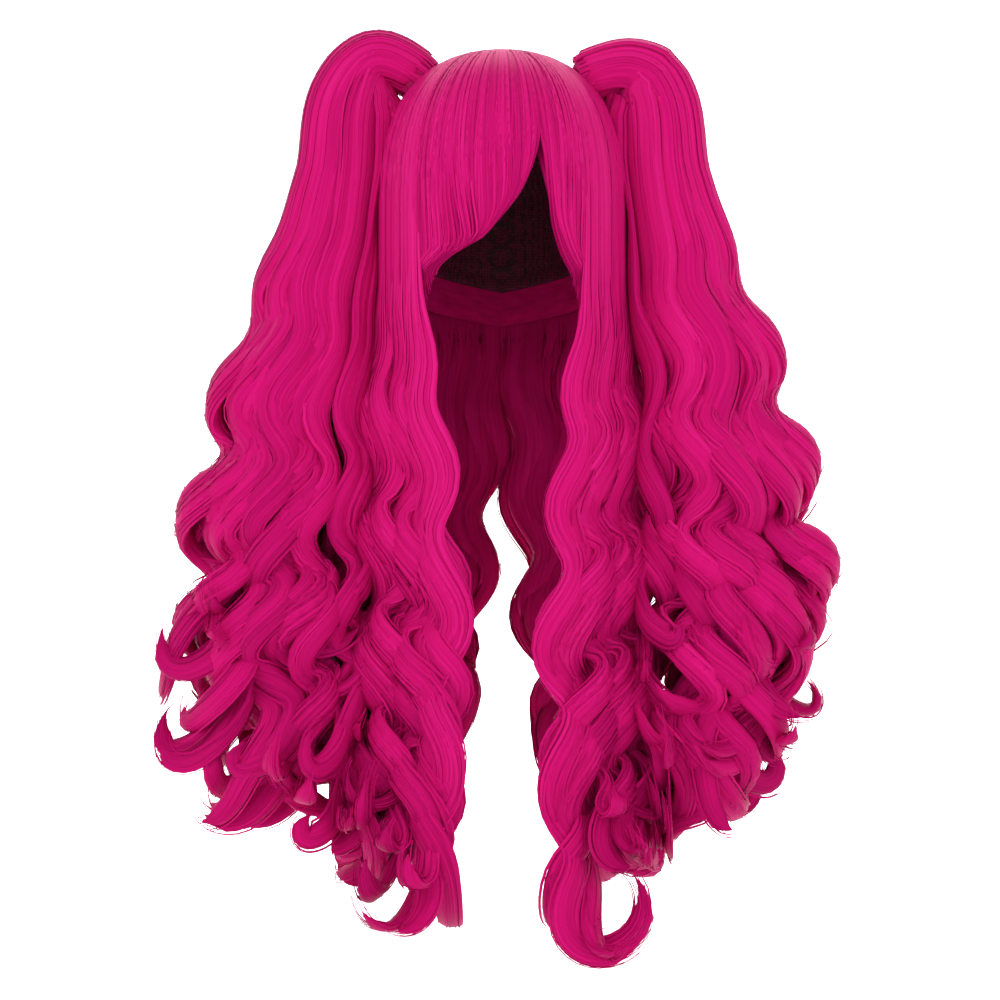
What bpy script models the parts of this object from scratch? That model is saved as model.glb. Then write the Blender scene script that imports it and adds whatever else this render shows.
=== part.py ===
"""A wig of long curled hair with two clipped-on pigtails, hanging as it does on a head.

Metres, +Z up, and the wearer looks along -Y. Left is -X and right is +X, as seen from the front.
The origin is the crown: the highest point of the cap's inner face, which rests on the head.
A turn is an angle round the head in degrees, 0 at the forehead, 90 over the right ear, -90 over
the left ear and 180 at the nape. A drop is a depth below the crown.
"""

import math
from collections import namedtuple

import bmesh
import bpy
import numpy as np

# Hollow of the cap, which a head fills
HEAD_WIDTH = 0.156
HEAD_DEPTH = 0.196
HEAD_RISE = 0.105
HEAD_SQUARENESS = 2.4

# Cap
CAP_WALL = 0.002
WHORL_RADIUS = 0.009

# Hair that is sewn over the cap
CROWN_HAIR = 0.0125
SIDE_HAIR = 0.0160
FRINGE_DROP = 0.156
FRINGE_EDGE = 0.0055
RIM_DROP = 0.190
RIM_EDGE = 0.0110
RIDGE_DEPTH = 0.0016
RIDGE_TURN = 6.0
ZIGZAG = 0.006

# Loose hair
HAIR_LENGTH = 0.688
HAIR_SPREAD = 0.088
HAIR_FRONT = 0.110
LOCK_START = 0.108
LOCK_WIDTH = 0.052
LOCK_FLATNESS = 0.50
STRAND_FLATNESS = 0.60
CURL_RADIUS = 0.019
NECK_FALL = 0.100
CURL_BEGIN = 0.130
CURL_GROWTH = 0.300

# Pigtails
PIGTAIL_REACH = 0.254
PIGTAIL_LENGTH = 0.610
PIGTAIL_FORWARD = 0.020
PIGTAIL_DEPTH = 0.85
PIGTAIL_FULLNESS = 0.072
CORE_SHARE = 0.50
CORE_REACH = 0.80

# Clips
CLIP_SLOPE = 39.0
CLIP_WIDTH = 0.034
CLIP_LENGTH = 0.014
CLIP_THICKNESS = 0.004
CLIP_TOOTH = 0.007
CLIP_TEETH = 5

# Room between neighbours, and fineness
GAP = 0.0003
SEAT_ROOM = 0.0020
LOCK_ROOM = 0.0012
LOCK_SIDES = 5
LOCK_STEP = 0.0304
DOME_ROWS = 6
STRAIGHT_ROWS = 2
DOME_SHARE = 0.68
CAP_COLUMNS = 20
SOFTNESS = 0.004

Rim = namedtuple("Rim", "turn drop")
# Open edge of the cap: drops are shares of RIM_DROP.
CAP_RIM = (
    Rim(0, 0.30),
    Rim(30, 0.36),
    Rim(55, 0.62),
    Rim(80, 0.72),
    Rim(105, 0.72),
    Rim(140, 0.80),
    Rim(180, 0.86),
)
# Lower edge of the fringe, from the left temple to the parting and on to the right temple: drops
# are shares of FRINGE_DROP.
FRINGE_RIM = (
    Rim(-42, 1.00),
    Rim(-31, 0.92),
    Rim(-22, 0.88),
    Rim(-10, 0.80),
    Rim(-1, 0.70),
    Rim(8, 0.60),
    Rim(18, 0.46),
    Rim(23, 0.65),
    Rim(28, 0.80),
    Rim(36, 0.92),
    Rim(42, 0.99),
)
PARTING_TURN = 18.0
TEMPLE_TURN = 42.0
# Lower edge of the sewn hair round one half of the head: drops are shares of RIM_DROP.
SEWN_RIM = (
    Rim(42, 0.84),
    Rim(70, 0.86),
    Rim(104, 0.88),
    Rim(140, 0.95),
    Rim(180, 1.00),
)

Ring = namedtuple("Ring", "drop across front back")
# Plan of the loose hair at each drop: drop as a share of HAIR_LENGTH, half its width as a share
# of HAIR_SPREAD, and its depth before and behind the neck as shares of HAIR_FRONT.
HANGING_RINGS = (
    Ring(0.10, 0.98, 0.965, 0.965),
    Ring(0.20, 1.00, 0.96, 0.98),
    Ring(0.28, 1.04, 0.84, 0.93),
    Ring(0.38, 1.05, 0.76, 0.88),
    Ring(0.52, 1.05, 0.74, 0.90),
    Ring(0.70, 1.07, 0.74, 0.92),
    Ring(0.86, 1.06, 0.68, 0.84),
    Ring(1.00, 0.80, 0.58, 0.70),
)

Border = namedtuple("Border", "drop face ear nape")
# Turns at which the side hair and the back hair of one half end, at each drop: drop as a share of
# HAIR_LENGTH.
BORDERS = (
    Border(0.00, 42, 104, 180),
    Border(0.23, 42, 104, 180),
    Border(0.29, 22, 103, 180),
    Border(0.45, 16, 100, 180),
    Border(0.62, 14, 98, 168),
    Border(1.00, 14, 94, 160),
)

Lock = namedtuple("Lock", "turn end_turn settle reach width curl turns phase")
# Locks of one half's loose hair: turns at the cap and at the tip, the share of its length by
# which it has gone from one to the other, how far down it reaches as a share of HAIR_LENGTH, its
# width and curl as shares of LOCK_WIDTH and CURL_RADIUS, the turns of its curl and the phase in
# degrees at which the curl starts.
SIDE_LOCKS = (
    Lock(53, 34, 0.7, 0.985, 0.96, 0.70, 4.6, 200),
    Lock(70, 60, 0.6, 0.90, 1.00, 0.90, 4.2, 20),
    Lock(90, 82, 0.6, 0.95, 1.00, 0.85, 4.4, 130),
)
BACK_LOCKS = (
    Lock(117, 107, 0.6, 0.92, 1.00, 0.90, 4.5, 250),
    Lock(140, 129, 0.8, 0.97, 1.04, 0.90, 4.2, 60),
    Lock(166, 142, 1.0, 0.90, 1.08, 0.85, 4.0, 170),
)

Stage = namedtuple("Stage", "drop out forward fullness")
# Middle line of a pigtail beyond its clip: drop, out and forward as shares of PIGTAIL_LENGTH,
# PIGTAIL_REACH and PIGTAIL_FORWARD, and half its width as a share of PIGTAIL_FULLNESS.
PIGTAIL_STAGES = (
    Stage(-0.018, 0.372, 0.0, 0.38),
    Stage(0.030, 0.460, 0.0, 0.44),
    Stage(0.130, 0.495, 0.1, 0.48),
    Stage(0.245, 0.553, 0.3, 0.62),
    Stage(0.380, 0.630, 0.7, 0.84),
    Stage(0.530, 0.680, 1.0, 1.02),
    Stage(0.680, 0.695, 1.0, 1.08),
    Stage(0.840, 0.655, 0.9, 1.02),
    Stage(1.000, 0.585, 0.8, 0.82),
)
ROOT_FULLNESS = 0.26

Knot = namedtuple("Knot", "share x y z fullness")

Strand = namedtuple("Strand", "place share reach width curl turns phase")
# Locks of a pigtail: place round its middle line in degrees, 0 outwards and 90 to the front, how
# far from the line as a share of its fullness, and the rest as for Lock.
PIGTAIL_LOCKS = (
    Strand(8, 0.62, 0.88, 1.10, 0.95, 4.8, 20),
    Strand(80, 0.60, 0.95, 1.10, 1.00, 4.5, 150),
    Strand(158, 0.74, 1.00, 1.05, 0.80, 4.7, 280),
    Strand(218, 0.72, 0.93, 1.05, 0.80, 4.3, 60),
    Strand(295, 0.60, 0.97, 1.10, 1.00, 4.6, 190),
)
RIGHT_PHASE = 75.0

Swell = namedtuple("Swell", "share fullness")
# Width of a lock along its length, as shares of its length and of its full width.
LOCK_SWELL = (
    Swell(0.00, 0.56),
    Swell(0.15, 0.86),
    Swell(0.40, 1.00),
    Swell(0.80, 0.94),
    Swell(0.93, 0.66),
    Swell(1.00, 0.16),
)

Wall = namedtuple("Wall", "drop out")
# Upright limit between a half's loose hair and its pigtail: drop as a share of HAIR_LENGTH and
# distance from the middle as a share of HAIR_SPREAD.
PIGTAIL_WALL = (
    Wall(-0.02, 0.20),
    Wall(0.06, 0.75),
    Wall(0.13, 1.17),
    Wall(0.24, 1.22),
    Wall(0.40, 1.22),
    Wall(0.60, 1.25),
    Wall(0.80, 1.32),
    Wall(1.10, 1.50),
)

HAIR_COLOUR = (0.72, 0.010, 0.18, 1.0)
NET_COLOUR = (0.10, 0.008, 0.03, 1.0)
CLIP_COLOUR = (0.16, 0.006, 0.05, 1.0)


def clear_scene():
    for item in list(bpy.data.objects):
        bpy.data.objects.remove(item)


def material(name, colour, roughness):
    """A plain Principled material."""
    made = bpy.data.materials.new(name)
    made.use_nodes = True
    shader = made.node_tree.nodes["Principled BSDF"]
    shader.inputs["Base Color"].default_value = colour
    shader.inputs["Roughness"].default_value = roughness
    made.diffuse_color = colour
    return made


def column(rows, name):
    return np.array([getattr(row, name) for row in rows], float)


def read(rows, key, name, at):
    """A column of a table read at a place by one smooth curve through its rows."""
    knots, values = column(rows, key), column(rows, name)
    slopes = np.gradient(values, knots)
    at = np.clip(at, knots[0], knots[-1])
    left = np.clip(np.searchsorted(knots, at, side="right") - 1, 0, len(knots) - 2)
    span = knots[left + 1] - knots[left]
    part = (at - knots[left]) / span
    square, cube = part**2, part**3
    return (
        (2 * cube - 3 * square + 1) * values[left]
        + (cube - 2 * square + part) * span * slopes[left]
        + (3 * square - 2 * cube) * values[left + 1]
        + (cube - square) * span * slopes[left + 1]
    )


def rim_at(rows, turn):
    """A rim's drop share at a turn, straight between the rows of its table."""
    return float(np.interp(turn, column(rows, "turn"), column(rows, "drop")))


def eased(share):
    """0 to 1 with a level start and end."""
    share = np.clip(share, 0.0, 1.0)
    return share * share * (3.0 - 2.0 * share)


def at_least(value, least, softness):
    """The value, bent so that it never falls below the least."""
    over = (value - least) / softness
    return least + softness * (np.maximum(over, 0.0) + np.log1p(np.exp(-np.abs(over))))


def unit(vectors):
    return vectors / np.linalg.norm(vectors, axis=-1, keepdims=True)


def dome_point(turn, slope, offset):
    """A point offset outwards from the head. The slope is 0 at the crown and a quarter circle at
    the widest level, and below that the head goes straight down."""
    swing = math.radians(turn)
    over = min(slope, math.pi / 2)
    power = 2.0 / HEAD_SQUARENESS
    share = math.sin(over) ** power
    height = max(math.cos(over), 0.0) ** power
    below = max(slope - math.pi / 2, 0.0) * HEAD_RISE
    return np.array(
        (
            (HEAD_WIDTH / 2 + offset) * share * math.sin(swing),
            -(HEAD_DEPTH / 2 + offset) * share * math.cos(swing),
            -HEAD_RISE + (HEAD_RISE + offset) * height - below,
        )
    )


def slope_at(drop):
    """The slope at which the head's own surface is that far below the crown."""
    if drop < HEAD_RISE:
        return math.acos((1.0 - drop / HEAD_RISE) ** (HEAD_SQUARENESS / 2.0))
    return math.pi / 2 + (drop - HEAD_RISE) / HEAD_RISE


def whorl_slope():
    """The slope at which the sewn hair begins round the whorl."""
    return math.asin((WHORL_RADIUS / (HEAD_WIDTH / 2)) ** (HEAD_SQUARENESS / 2.0))


def fall(start, rim):
    """Slopes from a start to a rim, closer together over the dome than down the straight side."""
    knee = start + (rim - start) * DOME_SHARE
    dome = np.linspace(start, knee, DOME_ROWS + 1)
    return np.concatenate((dome, np.linspace(knee, rim, STRAIGHT_ROWS + 1)[1:]))


def hair_depth(slope):
    """How far the sewn hair stands out from the head at a slope."""
    return CROWN_HAIR + (SIDE_HAIR - CROWN_HAIR) * float(eased(slope / (math.pi / 2)))


def closed_body(name, points, faces, finish):
    """One object from points and faces, welded, with its faces outwards."""
    mesh = bpy.data.meshes.new(name)
    mesh.from_pydata([tuple(point) for point in points], [], faces)
    shape = bmesh.new()
    shape.from_mesh(mesh)
    bmesh.ops.remove_doubles(shape, verts=shape.verts, dist=1e-6)
    loose = [edge for edge in shape.edges if not edge.link_faces]
    bmesh.ops.delete(shape, geom=loose, context="EDGES")
    bmesh.ops.recalc_face_normals(shape, faces=shape.faces)
    shape.to_mesh(mesh)
    shape.free()
    mesh.materials.append(finish)
    body = bpy.data.objects.new(name, mesh)
    bpy.context.scene.collection.objects.link(body)
    return body


def side_step(turn):
    """The level direction square to a turn's upright plane, towards larger turns."""
    swing = math.radians(turn)
    wide, deep = HEAD_WIDTH / 2 + SIDE_HAIR, HEAD_DEPTH / 2 + SIDE_HAIR
    return unit(np.array((deep * math.cos(swing), wide * math.sin(swing), 0.0)))


def walled_sheet(name, turns, slopes, inner, outer, finish):
    """A wall over the head. slopes(turn) lists the slopes of one column from the top to the rim,
    and inner and outer give the offsets of its two faces for a column and a row."""
    whole = abs(turns[-1] - turns[0]) > 359.9
    points, faces = [], []
    rows = len(slopes(turns[0]))
    last = len(turns) - 1
    for place, turn in enumerate(turns):
        shift = np.zeros(3)
        if not whole and place in (0, last):
            inwards = 1.0 if (place == 0) == (turns[-1] > turns[0]) else -1.0
            shift = side_step(turn) * inwards * GAP / 2
        for row, slope in enumerate(slopes(turn)):
            points.append(dome_point(turn, slope, inner(place, row)) + shift)
            points.append(dome_point(turn, slope, outer(place, row)) + shift)

    def at(place, row, face):
        return 2 * (place * rows + row) + face

    for place in range(last):
        for row in range(rows - 1):
            for face in (0, 1):
                faces.append(
                    (
                        at(place, row, face),
                        at(place + 1, row, face),
                        at(place + 1, row + 1, face),
                        at(place, row + 1, face),
                    )
                )
        for row in (0, rows - 1):
            faces.append(
                (
                    at(place, row, 0),
                    at(place + 1, row, 0),
                    at(place + 1, row, 1),
                    at(place, row, 1),
                )
            )
    if not whole:
        for place in (0, last):
            for row in range(rows - 1):
                faces.append(
                    (
                        at(place, row, 0),
                        at(place, row + 1, 0),
                        at(place, row + 1, 1),
                        at(place, row, 1),
                    )
                )
    return closed_body(name, points, faces, finish)


def cap(finish):
    """The cap, with the whorl of hair that covers its crown."""
    top = whorl_slope() * 0.90

    def slopes(turn):
        rim = slope_at(RIM_DROP * rim_at(CAP_RIM, abs(turn)))
        return (0.0, top, *fall(top, rim))

    def outer(place, row):
        return CROWN_HAIR if row < 2 else CAP_WALL

    turns = np.linspace(-180.0, 180.0, CAP_COLUMNS + 1)
    sheet = walled_sheet("wig_cap", turns, slopes, lambda place, row: 0.0, outer, finish)
    return sheet


def sewn_hair(name, start, end, rim, edge, finish):
    """Hair over the cap between two turns, ridged along its fall and pointed at its rim."""
    columns = max(2, round(abs(end - start) / RIDGE_TURN))
    turns = np.linspace(start, end, columns + 1)

    def slopes(turn):
        place = round((turn - start) / (end - start) * columns)
        jag = ZIGZAG if place % 2 and 0 < place < columns else 0.0
        return fall(whorl_slope(), slope_at(rim(turn) + jag))

    def outer(place, row):
        share = row / (DOME_ROWS + STRAIGHT_ROWS)
        slope = slopes(turns[place])[row]
        ridge = RIDGE_DEPTH * math.sin(math.pi * share) * (place % 2)
        depth = hair_depth(slope)
        return depth + (edge - depth) * float(eased((share - 0.55) / 0.45)) + ridge

    def inner(place, row):
        return CAP_WALL + SEAT_ROOM

    return walled_sheet(name, turns, slopes, inner, outer, finish)


def tube(name, line, outwards, half_widths, half_depths, finish):
    """A closed tube of oval sections square to a line, with the short way of each section along
    its outwards direction."""
    along = unit(np.gradient(line, axis=0))
    outwards = unit(outwards - np.sum(outwards * along, axis=1)[:, None] * along)
    across = np.cross(along, outwards)
    points, faces = [], []
    for place in range(len(line)):
        for corner in range(LOCK_SIDES):
            angle = 2 * math.pi * corner / LOCK_SIDES
            points.append(
                line[place]
                + across[place] * half_widths[place] * math.cos(angle)
                + outwards[place] * half_depths[place] * math.sin(angle)
            )
    for place in range(len(line) - 1):
        for corner in range(LOCK_SIDES):
            near, far = corner, (corner + 1) % LOCK_SIDES
            ring, below = place * LOCK_SIDES, (place + 1) * LOCK_SIDES
            faces.append((ring + near, ring + far, below + far, below + near))
    bottom = (len(line) - 1) * LOCK_SIDES
    faces.append(tuple(range(LOCK_SIDES)))
    faces.append(tuple(bottom + corner for corner in range(LOCK_SIDES)))
    return closed_body(name, points, faces, finish)


def off_plane(points, normal, room):
    """Points kept at least that far from an upright plane through the middle of the head, on the
    side to which its normal points."""
    distance = np.sum(points * normal, axis=1)
    return points + normal * (at_least(distance, room, SOFTNESS) - distance)[:, None]


def swell(shares):
    return read(LOCK_SWELL, "share", "fullness", shares)


def loose_lock(name, lock, side, front, rear, extra, finish):
    """A curled lock of one half's loose hair, kept between the borders front and rear."""
    reach = lock.reach * HAIR_LENGTH
    count = int((reach - LOCK_START) / LOCK_STEP) + 1
    shares = np.linspace(0.0, 1.0, count)
    drops = LOCK_START + (reach - LOCK_START) * shares
    levels = drops / HAIR_LENGTH
    swing = np.radians(lock.turn + (lock.end_turn - lock.turn) * eased(shares / lock.settle))
    across = read(HANGING_RINGS, "drop", "across", levels) * HAIR_SPREAD
    before = read(HANGING_RINGS, "drop", "front", levels)
    behind = read(HANGING_RINGS, "drop", "back", levels)
    depth = HAIR_FRONT * np.where(np.cos(swing) > 0, before, behind)
    flat = np.zeros(count)
    middle = np.stack((across * np.sin(swing), -depth * np.cos(swing), -drops), axis=1)
    tangent = unit(np.stack((across * np.cos(swing), depth * np.sin(swing), flat), axis=1))
    outwards = np.stack((tangent[:, 1], -tangent[:, 0], flat), axis=1)
    growth = eased((drops - CURL_BEGIN) / CURL_GROWTH)
    curl = (lock.curl * CURL_RADIUS * growth)[:, None]
    wound = 2 * math.pi * lock.turns * shares + math.radians(lock.phase + extra)
    line = middle + curl * (
        tangent * np.cos(wound)[:, None] + outwards * 0.7 * np.sin(wound)[:, None]
    )
    half = lock.width * LOCK_WIDTH / 2 * swell(shares)
    for border, sign in ((front, 1.0), (rear, -1.0)):
        turns = read(BORDERS, "drop", border, levels)
        normal = sign * np.array([side_step(turn) for turn in turns])
        line = off_plane(line, normal, half + LOCK_ROOM)
    free = eased((drops - RIM_DROP) / NECK_FALL)
    room = CAP_WALL + SEAT_ROOM + half * LOCK_FLATNESS
    line = clear_of_head(line, room - (room + HEAD_WIDTH / 4) * free)
    wall = read(PIGTAIL_WALL, "drop", "out", levels) * HAIR_SPREAD
    reach_out = half * np.hypot(np.cos(swing), LOCK_FLATNESS * np.sin(swing))
    line[:, 0] = wall - at_least(wall - line[:, 0], reach_out + LOCK_ROOM, SOFTNESS / 2)
    mirror = np.array((side, 1.0, 1.0))
    return tube(name, line * mirror, outwards * mirror, half, half * LOCK_FLATNESS, finish)


def clear_of_head(points, offsets):
    """Points pushed out from the middle of the head until they clear it by their offsets."""
    middle = np.array((0.0, 0.0, -HEAD_RISE))
    from_middle = points - middle
    wide = HEAD_WIDTH / 2 + offsets
    deep = HEAD_DEPTH / 2 + offsets
    level = np.hypot(from_middle[:, 0] / wide, from_middle[:, 1] / deep)
    up = np.maximum(from_middle[:, 2], 0.0) / (HEAD_RISE + offsets)
    size = (level**HEAD_SQUARENESS + up**HEAD_SQUARENESS) ** (1 / HEAD_SQUARENESS)
    factor = at_least(size, 1.0, 0.02) / size
    moved = from_middle * factor[:, None]
    moved[:, 2] = np.where(from_middle[:, 2] < 0.0, from_middle[:, 2], moved[:, 2])
    return moved + middle


def clip_seat():
    """Where the right clip lies on the hair, and the directions along the head's slope, towards
    the front and out of the head there."""
    slope = math.radians(CLIP_SLOPE)
    offset = hair_depth(slope) + RIDGE_DEPTH + GAP
    seat = dome_point(90.0, slope, offset)
    down = unit(dome_point(90.0, slope + 0.02, offset) - dome_point(90.0, slope - 0.02, offset))
    forward = np.array((0.0, -1.0, 0.0))
    return seat, down, forward, np.cross(down, forward) * -1.0


def pigtail_line(shares):
    """The right pigtail's middle line and its fullness at shares of its length."""
    seat, down, forward, out = clip_seat()
    root = seat + out * (CLIP_THICKNESS + GAP)
    rows = [(*root, ROOT_FULLNESS * PIGTAIL_FULLNESS)]
    for stage in PIGTAIL_STAGES:
        rows.append(
            (
                stage.out * PIGTAIL_REACH,
                -stage.forward * PIGTAIL_FORWARD,
                -stage.drop * PIGTAIL_LENGTH,
                stage.fullness * PIGTAIL_FULLNESS,
            )
        )
    rows = np.array(rows)
    steps = np.linalg.norm(np.diff(rows[:, :3], axis=0), axis=1)
    knots = np.concatenate(((0.0,), np.cumsum(steps)))
    length = knots[-1]
    table = [Knot(*values) for values in zip(knots / length, *rows.T)]
    line = np.stack([read(table, "share", name, shares) for name in "xyz"], axis=1)
    return line, np.interp(shares, knots / length, rows[:, 3]), length


def outside_loose_hair(line, reach_in):
    """A pigtail's points moved out until they clear the clip, the sewn and the loose hair."""
    clip_reach = CLIP_WIDTH / 2 + CLIP_TOOTH
    away = np.linalg.norm(line - clip_seat()[0], axis=1)
    lift = 1.8 * CLIP_THICKNESS * (1.0 - eased((away - clip_reach) / clip_reach))
    line = clear_of_head(line, SIDE_HAIR + RIDGE_DEPTH + LOCK_ROOM + reach_in + lift)
    levels = -line[:, 2] / HAIR_LENGTH
    wall = read(PIGTAIL_WALL, "drop", "out", levels) * HAIR_SPREAD
    line[:, 0] = at_least(line[:, 0], wall + reach_in + LOCK_ROOM, SOFTNESS / 2)
    return line


def pigtail_core(name, side, finish):
    """The thick middle of a pigtail, from its clip down."""
    count = int(CORE_REACH * PIGTAIL_LENGTH / LOCK_STEP) + 2
    shares = np.linspace(0.0, CORE_REACH, count)
    line, fullness, length = pigtail_line(shares)
    taper = 1.0 - 0.55 * eased((shares - 0.5) / (CORE_REACH - 0.5))
    half = fullness * taper * (CORE_SHARE + 0.4 * (1.0 - eased(shares * 5.0)))
    stem = line[0] + clip_seat()[3] * CLIP_THICKNESS
    line = np.vstack((line[0], stem, outside_loose_hair(line, half)[1:]))
    half = np.insert(half, 0, half[0])
    along = unit(np.gradient(line, axis=0))
    outwards = np.cross((0.0, -1.0, 0.0), along)
    mirror = np.array((side, 1.0, 1.0))
    return tube(name, line * mirror, outwards * mirror, half * PIGTAIL_DEPTH, half, finish)


def pigtail_lock(name, strand, side, extra, finish):
    """One curled lock of a pigtail."""
    count = int(strand.reach * PIGTAIL_LENGTH / LOCK_STEP) + 2
    shares = np.linspace(0.035, strand.reach, count)
    middle, fullness, length = pigtail_line(shares)
    along = unit(np.gradient(middle, axis=0))
    outer = np.cross((0.0, -1.0, 0.0), along)
    front = np.cross(along, outer)
    place = math.radians(strand.place)
    radial = outer * math.cos(place) + front * math.sin(place) * PIGTAIL_DEPTH
    tangent = front * math.cos(place) - outer * math.sin(place)
    growth = eased((shares * length - CURL_BEGIN) / CURL_GROWTH)
    curl = (strand.curl * CURL_RADIUS * growth)[:, None]
    wound = 2 * math.pi * strand.turns * shares + math.radians(strand.phase + extra)
    line = middle + radial * (fullness * strand.share)[:, None]
    line += curl * (tangent * np.cos(wound)[:, None] + radial * np.sin(wound)[:, None])
    widest = np.minimum(strand.width * LOCK_WIDTH / 2, 0.60 * fullness)
    half = widest * swell(0.15 + 0.85 * (shares - shares[0]) / (shares[-1] - shares[0]))
    thick = half * STRAND_FLATNESS
    reach_in = np.hypot(thick * math.cos(place), half * math.sin(place))
    line = outside_loose_hair(line, reach_in)
    mirror = np.array((side, 1.0, 1.0))
    return tube(name, line * mirror, radial * mirror, half, thick, finish)


def claw_clip(name, side, finish):
    """A flat clip with a row of teeth along each long side, lying on the head's slope."""
    seat, down, forward, out = clip_seat()
    pitch = CLIP_WIDTH / CLIP_TEETH
    outline = []
    for edge in (-1.0, 1.0):
        for tooth in range(CLIP_TEETH):
            start = edge * (tooth * pitch - CLIP_WIDTH / 2)
            outline.append((start, edge * CLIP_LENGTH / 2))
            outline.append((start + edge * pitch / 2, edge * (CLIP_LENGTH / 2 + CLIP_TOOTH)))
        outline.append((edge * CLIP_WIDTH / 2, edge * CLIP_LENGTH / 2))
    count = len(outline)
    mirror = np.array((side, 1.0, 1.0))
    points = []
    for lift in (0.0, CLIP_THICKNESS):
        for ahead, below in outline:
            points.append((seat + forward * ahead + down * below + out * lift) * mirror)
    faces = [tuple(range(count)), tuple(range(count, 2 * count))]
    for near in range(count):
        far = (near + 1) % count
        faces.append((near, far, count + far, count + near))
    return closed_body(name, points, faces, finish)


def islands(shape):
    """The sets of faces that join along edges shared by two faces only."""
    unseen = set(shape.faces)
    found = []
    for first in shape.faces:
        if first not in unseen:
            continue
        unseen.remove(first)
        island, waiting = [first], [first]
        while waiting:
            for side in waiting.pop().edges:
                if len(side.link_faces) != 2:
                    continue
                for near in side.link_faces:
                    if near in unseen:
                        unseen.remove(near)
                        island.append(near)
                        waiting.append(near)
        found.append(island)
    return found


def fused(body, locks):
    """One solid of a body and the locks that grow out of it, without the pockets shut inside it
    and the slivers of no thickness that a union leaves."""
    group = bpy.data.collections.new(body.name + "_locks")
    bpy.context.scene.collection.children.link(group)
    for lock in locks:
        group.objects.link(lock)
    join = body.modifiers.new("locks", "BOOLEAN")
    join.operation = "UNION"
    join.operand_type = "COLLECTION"
    join.collection = group
    join.solver = "MANIFOLD"
    whole = body.evaluated_get(bpy.context.evaluated_depsgraph_get())
    mesh = bpy.data.meshes.new_from_object(whole)
    body.modifiers.clear()
    for lock in locks:
        bpy.data.objects.remove(lock)
    bpy.data.collections.remove(group)
    shape = bmesh.new()
    shape.from_mesh(mesh)
    bmesh.ops.connect_verts_concave(shape, faces=shape.faces)
    bmesh.ops.triangulate(shape, faces=shape.faces)
    found = sorted(islands(shape), key=len)
    for island in found[:-1]:
        bmesh.ops.delete(shape, geom=island, context="FACES")
    shape.to_mesh(mesh)
    shape.free()
    body.data = mesh


def half_head(word, side, finish):
    """The sewn and loose hair of one half, in a side piece and a back piece."""
    extra = RIGHT_PHASE if side > 0 else 0.0
    first, last = BORDERS[0], BORDERS[-1]
    pieces = (
        ("side_hair_" + word, SIDE_LOCKS, "face", "ear"),
        ("back_hair_" + word, BACK_LOCKS, "ear", "nape"),
    )

    def rim(turn):
        return RIM_DROP * rim_at(SEWN_RIM, abs(turn))

    for name, locks, front, rear in pieces:
        start, end = getattr(first, front) * side, getattr(first, rear) * side
        body = sewn_hair(name, start, end, rim, RIM_EDGE, finish)
        grown = []
        for count, lock in enumerate(locks):
            label = f"{name}_lock_{count + 1}"
            grown.append(loose_lock(label, lock, side, front, rear, extra, finish))
        fused(body, grown)


def pigtail(word, side, finish):
    extra = RIGHT_PHASE if side > 0 else 0.0
    name = "pigtail_" + word
    body = pigtail_core(name, side, finish)
    grown = []
    for count, strand in enumerate(PIGTAIL_LOCKS):
        label = f"{name}_lock_{count + 1}"
        grown.append(pigtail_lock(label, strand, side, extra, finish))
    fused(body, grown)


def build():
    clear_scene()
    hair = material("hair_fibre", HAIR_COLOUR, 0.35)
    net = material("cap_net", NET_COLOUR, 0.8)
    plastic = material("clip_plastic", CLIP_COLOUR, 0.4)

    def fringe(turn):
        return FRINGE_DROP * rim_at(FRINGE_RIM, turn)

    cap(net)
    sewn_hair("fringe_sweep", -TEMPLE_TURN, PARTING_TURN, fringe, FRINGE_EDGE, hair)
    sewn_hair("fringe_side", PARTING_TURN, TEMPLE_TURN, fringe, FRINGE_EDGE, hair)
    for word, side in (("left", -1.0), ("right", 1.0)):
        half_head(word, side, hair)
        pigtail(word, side, hair)
        claw_clip("claw_clip_" + word, side, plastic)


build()
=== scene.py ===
"""A wig of long curled hair with two clipped-on pigtails, dressed over its CAD frame."""

import math
from collections import namedtuple

import bpy
import numpy as np
from mathutils import Matrix


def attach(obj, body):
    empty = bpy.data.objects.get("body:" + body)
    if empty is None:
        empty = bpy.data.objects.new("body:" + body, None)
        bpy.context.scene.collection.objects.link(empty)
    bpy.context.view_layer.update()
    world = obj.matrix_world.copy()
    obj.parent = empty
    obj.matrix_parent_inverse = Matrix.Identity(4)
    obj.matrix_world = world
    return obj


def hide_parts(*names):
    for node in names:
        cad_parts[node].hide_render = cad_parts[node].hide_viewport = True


bl_info = {
    "name": "Pigtail Wig",
    "version": (1, 0, 0),
    "blender": (4, 5, 0),
    "location": "3D View > Sidebar > Wig",
    "description": "Builds the strands, cap, clips and stage of a curled pigtail wig",
    "category": "Object",
}

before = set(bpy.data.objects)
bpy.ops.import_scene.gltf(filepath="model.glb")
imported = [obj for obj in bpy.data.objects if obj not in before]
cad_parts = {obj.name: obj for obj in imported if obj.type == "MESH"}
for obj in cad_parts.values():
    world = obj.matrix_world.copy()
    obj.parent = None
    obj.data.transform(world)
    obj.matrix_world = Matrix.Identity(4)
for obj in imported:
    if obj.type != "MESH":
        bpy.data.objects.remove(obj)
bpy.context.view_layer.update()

# Sizes of the CAD frame
HEAD_WIDTH = 0.156
HEAD_DEPTH = 0.196
HEAD_RISE = 0.105
HEAD_SQUARENESS = 2.4
CAP_WALL = 0.002
CROWN_HAIR = 0.0125
SIDE_HAIR = 0.0160
FRINGE_DROP = 0.156
FRINGE_EDGE = 0.0055
RIM_DROP = 0.190
HAIR_LENGTH = 0.688
HAIR_SPREAD = 0.088
HAIR_FRONT = 0.110
PIGTAIL_REACH = 0.254
PIGTAIL_LENGTH = 0.610
PIGTAIL_FORWARD = 0.020
PIGTAIL_DEPTH = 0.85
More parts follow.
